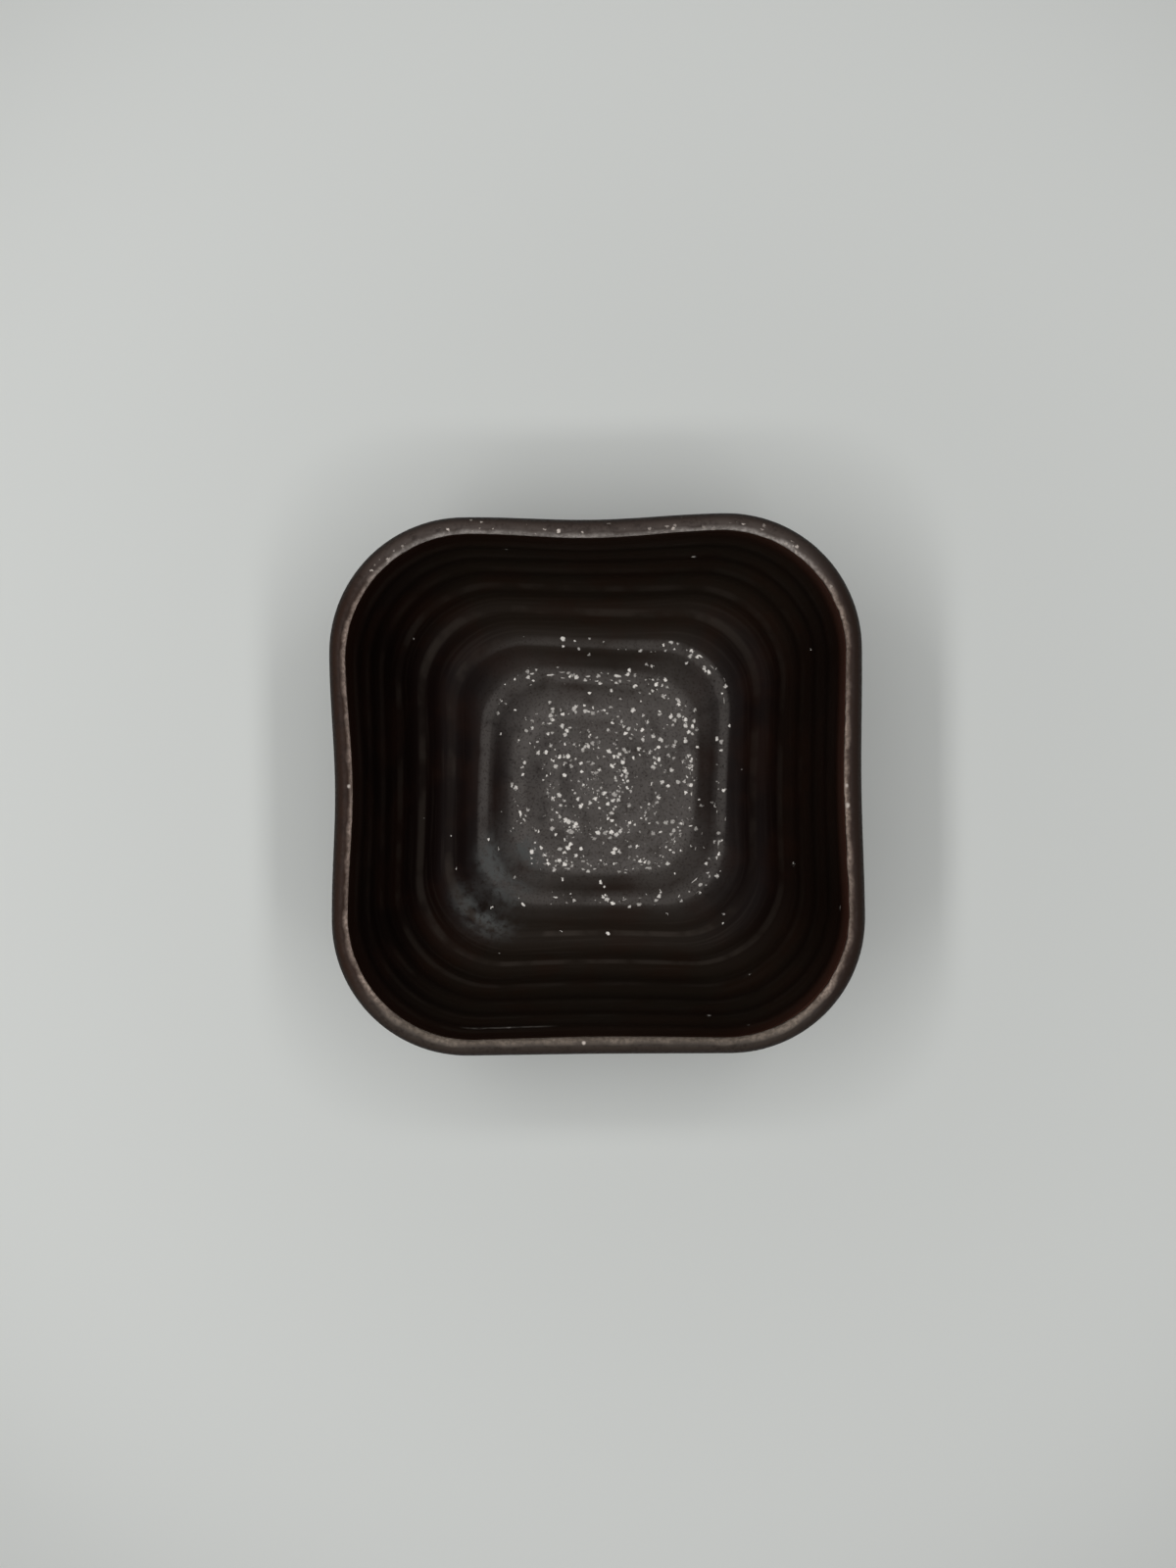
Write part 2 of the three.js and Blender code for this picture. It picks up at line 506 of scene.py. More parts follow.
@dataclass
class Wheel:
    """Throws a section round the axis and presses it square."""

    mouth: Mouth
    ring: ThrowingRing
    columns: int = 288
    wedges: int = 16
    weld: float = 1e-6
    sharp_angle: float = 40.0

    @cached_property
    def reaches(self) -> list[Reach]:
        """The mouth in the direction of each column."""
        return [self.mouth.reach(self.angle(column)) for column in range(self.columns)]

    def angle(self, column: int) -> float:
        """The direction of a column."""
        return 2 * math.pi * column / self.columns

    def throw(self, name: str, path: Path, stretches: list[Stretch], relief: Relief) -> bpy.types.Object:
        """Makes one closed piece.

        Args:
            name: The piece's name.
            path: The line that the section follows.
            stretches: The section's stretches in order, which close on themselves or on the axis.
            relief: How far a shown face stands out, by distance along the path and direction.

        Returns:
            The new object, in place.
        """
        shape = bmesh.new()
        layers = shape.verts.layers.float
        along_layer = layers.new(Trace.ALONG.value)
        lift_layer = layers.new(Mark.LIFT.value)
        shown_layer = layers.new(Mark.SHOWN.value)
        section = []
        for stretch in stretches:
            for step in range(stretch.steps + 1):
                along = stretch.start + (stretch.end - stretch.start) * step / stretch.steps
                point = path.at(along, stretch.lift)
                vertex = shape.verts.new((max(point.x, 0.0) * MM, 0.0, point.y * MM))
                vertex[along_layer] = along
                vertex[lift_layer] = stretch.lift
                vertex[shown_layer] = float(stretch.shown)
                section.append(vertex)
        edges = [shape.edges.new(pair) for pair in pairwise(section)]
        first, last = section[0], section[-1]
        if first.co.x > self.weld and (first.co - last.co).length > self.weld:
            edges.append(shape.edges.new((last, first)))
        self.turn(shape, section + edges)
        bmesh.ops.remove_doubles(shape, verts=shape.verts[:], dist=self.weld)
        bmesh.ops.recalc_face_normals(shape, faces=shape.faces[:])
        self.press(shape, path, relief)
        for mark in Mark:
            layers.remove(layers[mark.value])
        return self.finished(name, shape)

    def turn(self, shape: bmesh.types.BMesh, section: list[Element]) -> None:
        """Turns a section through one wedge, then repeats the wedge all the way round.

        Args:
            shape: The mesh in the making, which is changed.
            section: The section's vertices and edges.
        """
        wedge_angle = 2 * math.pi / self.wedges
        around = {"cent": (0.0, 0.0, 0.0), "axis": (0.0, 0.0, 1.0)}
        wedge_columns = self.columns // self.wedges
        bmesh.ops.spin(shape, geom=section, angle=wedge_angle, steps=wedge_columns, **around)
        bmesh.ops.spin(
            shape,
            geom=shape.verts[:] + shape.edges[:] + shape.faces[:],
            angle=wedge_angle * (self.wedges - 1),
            steps=self.wedges - 1,
            use_duplicate=True,
            **around,
        )

    def press(self, shape: bmesh.types.BMesh, path: Path, relief: Relief) -> None:
        """Moves every vertex from the round section to its place on the pressed bowl.

        Args:
            shape: The thrown mesh, which is changed.
            path: The line that its section follows.
            relief: How far a shown face stands out.
        """
        crest_layer = shape.verts.layers.float.new(Trace.CREST.value)
        wrap_layer = shape.verts.layers.float_vector.new(Trace.WRAP.value)
        along_layer = shape.verts.layers.float[Trace.ALONG.value]
        lift_layer = shape.verts.layers.float[Mark.LIFT.value]
        shown_layer = shape.verts.layers.float[Mark.SHOWN.value]
        for vertex in shape.verts:
            turn = math.atan2(vertex.co.y, vertex.co.x) / (2 * math.pi)
            column = round(turn * self.columns) % self.columns
            angle = self.angle(column)
            along = vertex[along_layer]
            lift = vertex[lift_layer] + vertex[shown_layer] * relief(along, angle)
            point = path.at(along, lift)
            radius = self.mouth.pressed(point.x, point.y, self.reaches[column])
            vertex.co = Vector((radius * math.cos(angle), radius * math.sin(angle), point.y)) * MM
            vertex[crest_layer] = self.ring.rubbed_crest(along, angle)
            vertex[wrap_layer] = Vector((math.cos(angle), math.sin(angle), along))

    def finished(self, name: str, shape: bmesh.types.BMesh) -> bpy.types.Object:
        """Turns a mesh in the making into an object with smooth faces and crisp edges.

        Args:
            name: The object's name.
            shape: The mesh in the making, which is freed.

        Returns:
            The object.
        """
        mesh = bpy.data.meshes.new(name)
        shape.to_mesh(mesh)
        shape.free()
        mesh.shade_smooth()
        mesh.set_sharp_from_angle(angle=math.radians(self.sharp_angle))
        piece = bpy.data.objects.new(name, mesh)
        bpy.context.scene.collection.objects.link(piece)
        return piece


@dataclass(frozen=True)
class Patch:
    """A round patch in millimetres: its middle, the radius within which it is full, and where it ends."""

    middle: tuple[float, float, float]
    core: float
    edge: float


@dataclass(frozen=True)
class Ease:
    """How a mask eases while a value goes from low to high: what it is at each of the two."""

    low: float
    high: float
    start: float = 0.0
    end: float = 1.0


@dataclass(frozen=True)
class Cloud:
    """Clouds in glaze or clay: their size in millimetres, and the noise levels between which they rise."""

    size: float
    low: float
    high: float


@dataclass(frozen=True)
class Lines:
    """Fine turning lines: their width in millimetres, and their length in radians round the bowl."""

    width: float
    length: float


@dataclass(frozen=True)
class Speckle:
    """Strewn specks in millimetres: how far apart the spots for them are, and how wide the largest is."""

    spacing: float
    size: float


class Shades:
    """Adds nodes to one shader tree and joins them up."""

    def __init__(self, tree: bpy.types.NodeTree) -> None:
        """Takes the tree to work in."""
        self.tree = tree

    def add(self, kind: str, **settings: object) -> bpy.types.Node:
        """Adds one node.

        Args:
            kind: Blender's name for the kind of node.
            **settings: The node's own settings.

        Returns:
            The node.
        """
        node = self.tree.nodes.new(kind)
        for name, value in settings.items():
            setattr(node, name, value)
        return node

    def feed(self, socket: Socket, value: Feed) -> None:
        """Links a socket to another one, or sets it.

        Args:
            socket: The socket that takes the value.
            value: Another node's output, or a plain value.
        """
        if isinstance(value, Socket):
            self.tree.links.new(value, socket)
        elif socket.type == "RGBA":
            socket.default_value = (*value, 1.0)
        else:
            socket.default_value = value

    def math(self, operation: str, *values: Feed) -> Socket:
        """Works out one number from others.

        Args:
            operation: The Math node's operation.
            *values: What it works on.

        Returns:
            The result.
        """
        node = self.add("ShaderNodeMath", operation=operation)
        for socket, value in zip(node.inputs, values):
            self.feed(socket, value)
        return node.outputs[0]

    def fold(self, operation: str, values: tuple[Feed, ...]) -> Socket:
        """Works through two or more values with one operation.

        Args:
            operation: The Math node's operation.
            values: The values.

        Returns:
            The result.
        """
        return reduce(partial(self.math, operation), values)

    def product(self, *values: Feed) -> Socket:
        """Multiplies two or more values."""
        return self.fold("MULTIPLY", values)

    def total(self, *values: Feed) -> Socket:
        """Adds up two or more values."""
        return self.fold("ADD", values)

    def highest(self, *values: Feed) -> Socket:
        """Takes the highest of two or more values."""
        return self.fold("MAXIMUM", values)

    def span(
        self, value: Feed, low: Feed, high: Feed, start: Feed = 0.0, end: Feed = 1.0
    ) -> Socket:
        """Eases a value from start to end as it goes from low to high.

        Args:
            value: The value to ease.
            low: Where the result is start.
            high: Where the result is end, which may be below low.
            start: The result at low.
            end: The result at high.

        Returns:
            The eased value.
        """
        node = self.add("ShaderNodeMapRange", interpolation_type="SMOOTHSTEP")
        for socket, fed in zip(node.inputs, (value, low, high, start, end)):
            self.feed(socket, fed)
        return node.outputs[0]

    def ease(self, value: Feed, ease: Ease) -> Socket:
        """Eases a value in a named way."""
        return self.span(value, ease.low, ease.high, ease.start, ease.end)

    def blend(self, factor: Feed, below: Feed, above: Feed) -> Socket:
        """Lays one colour over another.

        Args:
            factor: How much of the upper colour shows.
            below: The lower colour.
            above: The upper colour.

        Returns:
            The mixed colour.
        """
        node = self.add("ShaderNodeMix", data_type="RGBA")
        sockets = [socket for socket in node.inputs if socket.enabled]
        for socket, value in zip(sockets, (factor, below, above)):
            self.feed(socket, value)
        return next(socket for socket in node.outputs if socket.enabled)

    def noise(self, vector: Feed, scale: Feed, detail: float) -> Socket:
        """Makes soft cloudy noise.

        Args:
            vector: The coordinates.
            scale: How many lumps there are in one unit.
            detail: How many finer layers are added.

        Returns:
            A value around a half.
        """
        node = self.add("ShaderNodeTexNoise")
        self.feed(node.inputs["Vector"], vector)
        self.feed(node.inputs["Scale"], scale)
        self.feed(node.inputs["Detail"], detail)
        return node.outputs[0]

    def stretched(self, vector: Feed, factors: Feed) -> Socket:
        """Stretches coordinates.

        Args:
            vector: The coordinates.
            factors: By how much, along each axis.

        Returns:
            The stretched coordinates.
        """
        node = self.add("ShaderNodeVectorMath", operation="MULTIPLY")
        self.feed(node.inputs[0], vector)
        self.feed(node.inputs[1], factors)
        return node.outputs[0]

    def trace(self, trace: Trace) -> bpy.types.Node:
        """Reads what the vertices remember."""
        return self.add("ShaderNodeAttribute", attribute_name=trace.value)

    def millimetres(self) -> Socket:
        """Reads the place on the bowl in millimetres."""
        place = self.add("ShaderNodeTexCoord").outputs["Object"]
        return self.stretched(place, (1 / MM, 1 / MM, 1 / MM))

    def seen(self) -> Socket:
        """Marks what the camera sees, straight, mirrored or through glass."""
        rays = self.add("ShaderNodeLightPath").outputs
        return self.highest(rays["Is Camera Ray"], rays["Is Glossy Ray"], rays["Is Transmission Ray"])

    def axis(self, vector: Feed, index: int) -> Socket:
        """Takes one number out of a vector.

        Args:
            vector: The vector.
            index: 0, 1 or 2 for X, Y or Z.

        Returns:
            The number.
        """
        node = self.add("ShaderNodeSeparateXYZ")
        self.feed(node.inputs[0], vector)
        return node.outputs[index]

    def near(self, place: Feed, patch: Patch) -> Socket:
        """Marks a round patch.

        Args:
            place: The place in millimetres.
            patch: The patch.

        Returns:
            The mark, from 0 to 1.
        """
        distance = self.add("ShaderNodeVectorMath", operation="DISTANCE")
        self.feed(distance.inputs[0], place)
        self.feed(distance.inputs[1], patch.middle)
        return self.span(distance.outputs["Value"], patch.edge, patch.core)

    def place(self, group: bpy.types.NodeTree, **inputs: Feed) -> Socket:
        """Places a shared effect.

        Args:
            group: The effect's node group.
            **inputs: Its named inputs.

        Returns:
            The effect's only output.
        """
        node = self.add("ShaderNodeGroup", node_tree=group)
        for name, value in inputs.items():
            self.feed(node.inputs[name], value)
        return node.outputs[0]


def new_group(
    name: str, vector: str, values: tuple[str, ...]
) -> tuple[Shades, bpy.types.Node, bpy.types.Node]:
    """Starts a shared effect with one vector input, some numbers and a mask for output.

    Args:
        name: The group's name.
        vector: The name of its vector input.
        values: The names of its number inputs.

    Returns:
        The group's shades, its input node and its output node.
    """
    tree = bpy.data.node_groups.new(name, "ShaderNodeTree")
    tree.interface.new_socket(vector, in_out="INPUT", socket_type="NodeSocketVector")
    for value in values:
        tree.interface.new_socket(value, in_out="INPUT", socket_type="NodeSocketFloat")
    tree.interface.new_socket("Mask", in_out="OUTPUT", socket_type="NodeSocketFloat")
    shades = Shades(tree)
    return shades, shades.add("NodeGroupInput"), shades.add("NodeGroupOutput")


@cache
def specks() -> bpy.types.NodeTree:
    """Builds the effect of small uneven specks strewn in the glaze or clay.

    Returns:
        A group that takes a Place, their Spacing and Size, and the Share of spots that hold one.
    """
    ripples_per_spot = 2.0
    ripple_depth = 0.9
    off_grid = (0.5, 0.3, 0.7)
    sizes = Ease(0.0, 1.0, 0.42, 1.0)
    strengths = Ease(0.0, 1.0, 0.35, 1.0)
    core_share = 0.55

    shades, inputs, outputs = new_group("Specks", "Place", ("Spacing", "Size", "Share"))
    spacing = inputs.outputs["Spacing"]
    ripple = shades.add("ShaderNodeTexNoise")
    shades.feed(ripple.inputs["Vector"], inputs.outputs["Place"])
    shades.feed(ripple.inputs["Scale"], shades.math("DIVIDE", ripples_per_spot, spacing))
    uneven = shades.add("ShaderNodeVectorMath", operation="MULTIPLY_ADD")
    shades.feed(uneven.inputs[0], ripple.outputs["Color"])
    shades.feed(uneven.inputs[1], shades.product(spacing, ripple_depth))
    shades.feed(uneven.inputs[2], inputs.outputs["Place"])
    turned = shades.add("ShaderNodeVectorRotate", rotation_type="EULER_XYZ")
    shades.feed(turned.inputs["Vector"], uneven.outputs[0])
    shades.feed(turned.inputs["Rotation"], off_grid)

    cells = shades.add("ShaderNodeTexVoronoi")
    shades.feed(cells.inputs["Vector"], turned.outputs[0])
    shades.feed(cells.inputs["Scale"], shades.math("DIVIDE", 1.0, spacing))
    chance = shades.add("ShaderNodeSeparateColor")
    shades.feed(chance.inputs[0], cells.outputs["Color"])
    held = shades.math("LESS_THAN", chance.outputs[0], inputs.outputs["Share"])
    largest = shades.product(inputs.outputs["Size"], 0.5)
    radius = shades.product(largest, shades.ease(chance.outputs[1], sizes))
    distance = shades.product(cells.outputs["Distance"], spacing)
    dot = shades.span(distance, radius, shades.product(radius, core_share))
    strength = shades.ease(chance.outputs[2], strengths)
    shades.feed(outputs.inputs["Mask"], shades.product(held, dot, strength))
    return shades.tree


@cache
def clouds() -> bpy.types.NodeTree:
    """Builds the effect of uneven, cloudy glaze or clay.

    Returns:
        A group that takes a Place, the clouds' Size, and the noise levels From and To.
    """
    shades, inputs, outputs = new_group("Clouds", "Place", ("Size", "From", "To"))
    scale = shades.math("DIVIDE", 1.0, inputs.outputs["Size"])
    lumps = shades.noise(inputs.outputs["Place"], scale, detail=3.0)
    mask = shades.span(lumps, inputs.outputs["From"], inputs.outputs["To"])
    shades.feed(outputs.inputs["Mask"], mask)
    return shades.tree


@cache
def wheel_lines() -> bpy.types.NodeTree:
    """Builds the effect of fine lines left round the bowl by the turning wheel.

    Returns:
        A group that takes a Wrap, which runs round and along the section, and the lines' Width and Length.
    """
    shades, inputs, outputs = new_group("Wheel lines", "Wrap", ("Width", "Length"))
    along = shades.math("DIVIDE", 1.0, inputs.outputs["Width"])
    around = shades.math("DIVIDE", 1.0, inputs.outputs["Length"])
    stretch = shades.add("ShaderNodeCombineXYZ")
    for socket, value in zip(stretch.inputs, (around, around, along)):
        shades.feed(socket, value)
    scaled = shades.stretched(inputs.outputs["Wrap"], stretch.outputs[0])
    shades.feed(outputs.inputs["Mask"], shades.noise(scaled, scale=1.0, detail=2.0))
    return shades.tree


@dataclass
class Finish:
    """One finish in the making: its material, its shades and the shader that they feed."""

    name: str
    material: bpy.types.Material = field(init=False)
    shades: Shades = field(init=False)
    shader: bpy.types.Node = field(init=False)

    def __post_init__(self) -> None:
        """Makes an empty material with one shader."""
        self.material = bpy.data.materials.new(self.name)
        self.material.use_nodes = True
        self.shades = Shades(self.material.node_tree)
        self.shader = self.material.node_tree.nodes["Principled BSDF"]

    @cached_property
    def place(self) -> Socket:
        """The place on the bowl in millimetres."""
        return self.shades.millimetres()

    @cached_property
    def place_x(self) -> Socket:
        """The place from left to right, in millimetres from the axis."""
        return self.shades.axis(self.place, 0)

    @cached_property
    def place_y(self) -> Socket:
        """The place from front to back, in millimetres from the axis."""
        return self.shades.axis(self.place, 1)

    @cached_property
    def along(self) -> Socket:
        """The distance along the section."""
        return self.shades.trace(Trace.ALONG).outputs["Fac"]

    @cached_property
    def crest(self) -> Socket:
        """How near the place is to the rubbed crest of the throwing ring."""
        return self.shades.trace(Trace.CREST).outputs["Fac"]

    @cached_property
    def wrap(self) -> Socket:
        """The direction round the axis, with the distance along the section."""
        return self.shades.trace(Trace.WRAP).outputs["Vector"]

    @cached_property
    def rightward(self) -> Socket:
        """How far round to the right the place is, from -1 on the left to 1."""
        return self.shades.axis(self.wrap, 0)

    @cached_property
    def backward(self) -> Socket:
        """How far round to the back the place is, from -1 at the front to 1."""
        return self.shades.axis(self.wrap, 1)

    def cloud(self, cloud: Cloud) -> Socket:
        """Lays clouds over the piece."""
        return self.shades.place(
            clouds(), Place=self.place, Size=cloud.size, From=cloud.low, To=cloud.high
        )

    def lines(self, lines: Lines) -> Socket:
        """Draws turning lines round the piece."""
        return self.shades.place(wheel_lines(), Wrap=self.wrap, Width=lines.width, Length=lines.length)

    def strewn(self, speckle: Speckle, share: Feed, place: Feed | None = None) -> Socket:
        """Strews specks over the piece.

        Args:
            speckle: The specks.
            share: The share of the spots that hold one.
            place: The coordinates they lie in, or nothing for the place on the bowl.

        Returns:
            The mask.
        """
        spots = self.place if place is None else place
        return self.shades.place(
            specks(), Place=spots, Spacing=speckle.spacing, Size=speckle.size, Share=share
        )

    def colour(self, value: Feed) -> None:
        """Sets the colour all over."""
        self.shades.feed(self.shader.inputs["Base Color"], value)

    def gloss(self, level: float) -> None:
        """Sets how strongly the surface mirrors."""
        self.shades.feed(self.shader.inputs["Specular IOR Level"], level)

    def roughness(self, value: Feed) -> None:
        """Sets the roughness all over."""
        self.shades.feed(self.shader.inputs["Roughness"], value)

    def bump(self, height: Socket, depth: float) -> None:
        """Gives the surface a fine relief.

        Args:
            height: The relief, from 0 to 1.
            depth: How deep it is, in millimetres.
        """
        node = self.shades.add("ShaderNodeBump")
        node.inputs["Distance"].default_value = depth * MM
        self.shades.feed(node.inputs["Height"], height)
        self.shades.feed(self.shader.inputs["Normal"], node.outputs["Normal"])


@dataclass(frozen=True)
class RidgeHighlight:
    """A painted highlight: a thin pale line along the front wall, under the lip, where a ridge catches the
    light.
    """

    drop: float = 7.0
    core: float = 0.1
    edge: float = 0.9
    wall: Ease = Ease(-30.0, -36.0)
    left_end: Ease = Ease(-29.5, -26.0)
    right_end: Ease = Ease(-8.0, -13.0)
    breaks: Cloud = Cloud(1.6, 0.3, 0.55)
    level: float = 0.8

    def mask(self, finish: Finish, skin: Skin) -> Socket:
        """Marks the painted highlight.

        Args:
            finish: The finish in the making.
            skin: The section that the coat lies on.

        Returns:
            The mask.
        """
        shades = finish.shades
        off_line = shades.math("SUBTRACT", finish.along, skin.lip_start - self.drop)
        return shades.product(
            shades.span(shades.math("ABSOLUTE", off_line), self.edge, self.core),
            shades.ease(finish.place_y, self.wall),
            shades.ease(finish.place_x, self.left_end),
            shades.ease(finish.place_x, self.right_end),
            finish.cloud(self.breaks),
            self.level,
        )


@dataclass(frozen=True)
class CrestHighlightsAndLines:
    """Painted highlights as thin pale lines along the ring's crests on the wall, clearest in front where
    more light falls, and turning lines between.
    """

    rise: Ease = Ease(31.0, 36.0)
    fade: Ease = Ease(62.0, 43.0, 0.3, 0.85)
    right: Ease = Ease(0.5, 0.95, 1.0, 0.45)
    front: Ease = Ease(-0.5, -0.9, 0.68, 1.0)
    crest_foot: Ease = Ease(-0.5, -0.9, 0.74, 0.88)
    crest_top: float = 0.99
    cloud: Cloud = Cloud(9.0, 0.35, 0.65)
    breaks: Ease = Ease(0.0, 1.0, 0.2, 1.0)
    lines: Lines = Lines(0.8, 0.5)
    line_level: Ease = Ease(0.52, 0.7, 0.0, 0.3)

    def mask(self, finish: Finish) -> Socket:
        """Marks the painted highlights and the turning lines.

        Args:
            finish: The finish in the making.

        Returns:
            The mask.
        """
        shades = finish.shades
        foot = shades.ease(finish.backward, self.crest_foot)
        uneven = shades.ease(finish.cloud(self.cloud), self.breaks)
        ridges = shades.product(shades.span(finish.crest, foot, self.crest_top), uneven)
        turning = shades.ease(finish.lines(self.lines), self.line_level)
        return shades.product(
            shades.ease(finish.along, self.rise),
            shades.ease(finish.along, self.fade),
            shades.ease(finish.rightward, self.right),
            shades.ease(finish.backward, self.front),
            shades.highest(ridges, turning),
        )


@dataclass(frozen=True)
class Floor:
    """The floor that the haze, painted sheen and painted glints lie on: it reaches further into the corners
    and less to the left.
    """

    corner_reach: float = 1.5
    left_retreat: Ease = Ease(-0.3, -0.95, 0.0, 3.5)

    def corners(self, finish: Finish) -> Socket:
        """Marks the four corners.

        Args:
            finish: The finish in the making.

        Returns:
            The mask, which is 0 along the middles of the sides.
        """
        shades = finish.shades
        half_slant = shades.product(finish.rightward, finish.backward)
        slant = shades.total(half_slant, half_slant)
        return shades.product(slant, slant)

    def spread(self, finish: Finish, corners: Socket) -> Socket:
        """Measures how far out a place is, less in the corners and more on the left.

        Args:
            finish: The finish in the making.
            corners: The mark of the corners.

        Returns:
            The distance in millimetres, by which the haze, painted sheen and painted glints end.
        """
        shades = finish.shades
        reach = shades.product(corners, self.corner_reach)
        nearer = shades.math("SUBTRACT", finish.along, reach)
        return shades.total(nearer, shades.ease(finish.rightward, self.left_retreat))


@dataclass(frozen=True)
class FloorHazeAndSheen:
    """Pale haze, partly wear and partly painted sheen of the overhead light: all over the middle of the
    floor, further out along the ring's crests alone as painted highlights.
    """

    floor: Ease = Ease(35.5, 18.0)
    inner_groove: Ease = Ease(0.2, -0.8, 0.86, 0.62)
    outer_groove: float = 0.04
    groove_start: float = 18.0
    groove_end: float = 26.0
    hollow: Ease = Ease(0.95, 0.2)
    hollow_start: Ease = Ease(3.0, 9.0)
    hollow_corners: Ease = Ease(0.0, 1.0, 1.0, 0.6)
    hollow_cloud: Cloud = Cloud(9.0, 0.3, 0.7)
    hollow_breaks: Ease = Ease(0.0, 1.0, 0.85, 1.0)
    last_crest: Ease = Ease(0.6, 0.97)
    last_start: Ease = Ease(21.0, 26.0)
    last_end: Ease = Ease(36.0, 31.0, 0.0, 0.6)
    grain: Cloud = Cloud(0.55, 0.1, 0.55)
    cloud: Cloud = Cloud(5.0, 0.0, 0.55)

    def mask(self, finish: Finish, spread: Socket, corners: Socket) -> Socket:
        """Marks the haze and painted sheen.

        Args:
            finish: The finish in the making.
            spread: How far out a place is.
            corners: The mark of the corners, where the grooves are shallow.

        Returns:
            The mask.
        """
        shades = finish.shades
        inner = shades.ease(finish.rightward, self.inner_groove)
        level = shades.span(finish.along, self.groove_start, self.groove_end, inner, self.outer_groove)
        hollow = shades.product(
            shades.ease(finish.crest, self.hollow),
            shades.ease(finish.along, self.hollow_start),
            shades.ease(corners, self.hollow_corners),
            shades.ease(finish.cloud(self.hollow_cloud), self.hollow_breaks),
        )
        kept = shades.math("MULTIPLY_ADD", hollow, shades.math("SUBTRACT", level, 1.0), 1.0)
        last_crest = shades.product(
            shades.ease(finish.crest, self.last_crest),
            shades.ease(finish.along, self.last_start),
            shades.ease(spread, self.last_end),
        )
        hazed_and_sheened = shades.highest(shades.product(shades.ease(spread, self.floor), kept), last_crest)
        return shades.product(hazed_and_sheened, finish.cloud(self.grain), finish.cloud(self.cloud))


@dataclass(frozen=True)
class Scuffs:
    """Dull patches left by use in the front left corner."""

    patches: tuple[Patch, ...] = (
        Patch((-21.5, -20.0, 9.5), 4.0, 11.0),
        Patch((-26.5, -30.0, 12.0), 1.5, 12.0),
    )
    crests: Ease = Ease(0.1, 0.8, 0.3, 1.0)
    cloud: Cloud = Cloud(4.0, 0.3, 0.6)
    grain: Cloud = Cloud(0.9, 0.2, 0.55)

    def mask(self, finish: Finish) -> Socket:
        """Marks the scuffs.

        Args:
            finish: The finish in the making.

        Returns:
            The mask.
        """
        shades = finish.shades
        worn = [shades.near(finish.place, patch) for patch in self.patches]
        return shades.product(
            shades.highest(*worn),
            shades.ease(finish.crest, self.crests),
            finish.cloud(self.cloud),
            finish.cloud(self.grain),
        )


@dataclass(frozen=True)
class GlintSpecks:
    """Painted glints: pale specks over the floor, dashes along the ring's crests, and a few specks on the
    wall.
    """

    floor: Ease = Ease(38.0, 18.0)
    left_retreat: Ease = Ease(-0.2, -0.9, 0.0, 6.0)
    groove_share: Ease = Ease(5.0, 26.0, 0.45, 0.08)
    crest_foot: float = 0.45
    crest_top: float = 0.95
    crest_share: float = 0.72
    wall_share: float = 0.0016
    dots: Speckle = Speckle(1.2, 1.35)
    dashes: Speckle = Speckle(1.0, 0.75)
    dash_stretch: tuple[float, float, float] = (10.0, 10.0, 1.0)
    dash_floor: Ease = Ease(0.1, 0.6)
    dash_share: Ease = Ease(0.8, 0.97, 0.0, 0.4)

    def mask(self, finish: Finish, spread: Socket) -> Socket:
        """Marks the painted glints, specks and dashes.

        Args:
            finish: The finish in the making.
            spread: How far out a place is.

        Returns:
            The mask.
        """
        shades = finish.shades
        farther = shades.total(spread, shades.ease(finish.rightward, self.left_retreat))
        floor = shades.ease(farther, self.floor)
        in_groove = shades.ease(spread, self.groove_share)
        gathered = shades.span(finish.crest, self.crest_foot, self.crest_top, in_groove, self.crest_share)
        share = shades.total(shades.product(floor, gathered), self.wall_share)
        dots = finish.strewn(self.dots, share)
        on_crest = shades.ease(finish.crest, self.dash_share)
        dash_share = shades.product(shades.ease(floor, self.dash_floor), on_crest)
        unrolled = shades.stretched(finish.wrap, self.dash_stretch)
        return shades.highest(dots, finish.strewn(self.dashes, dash_share, unrolled))


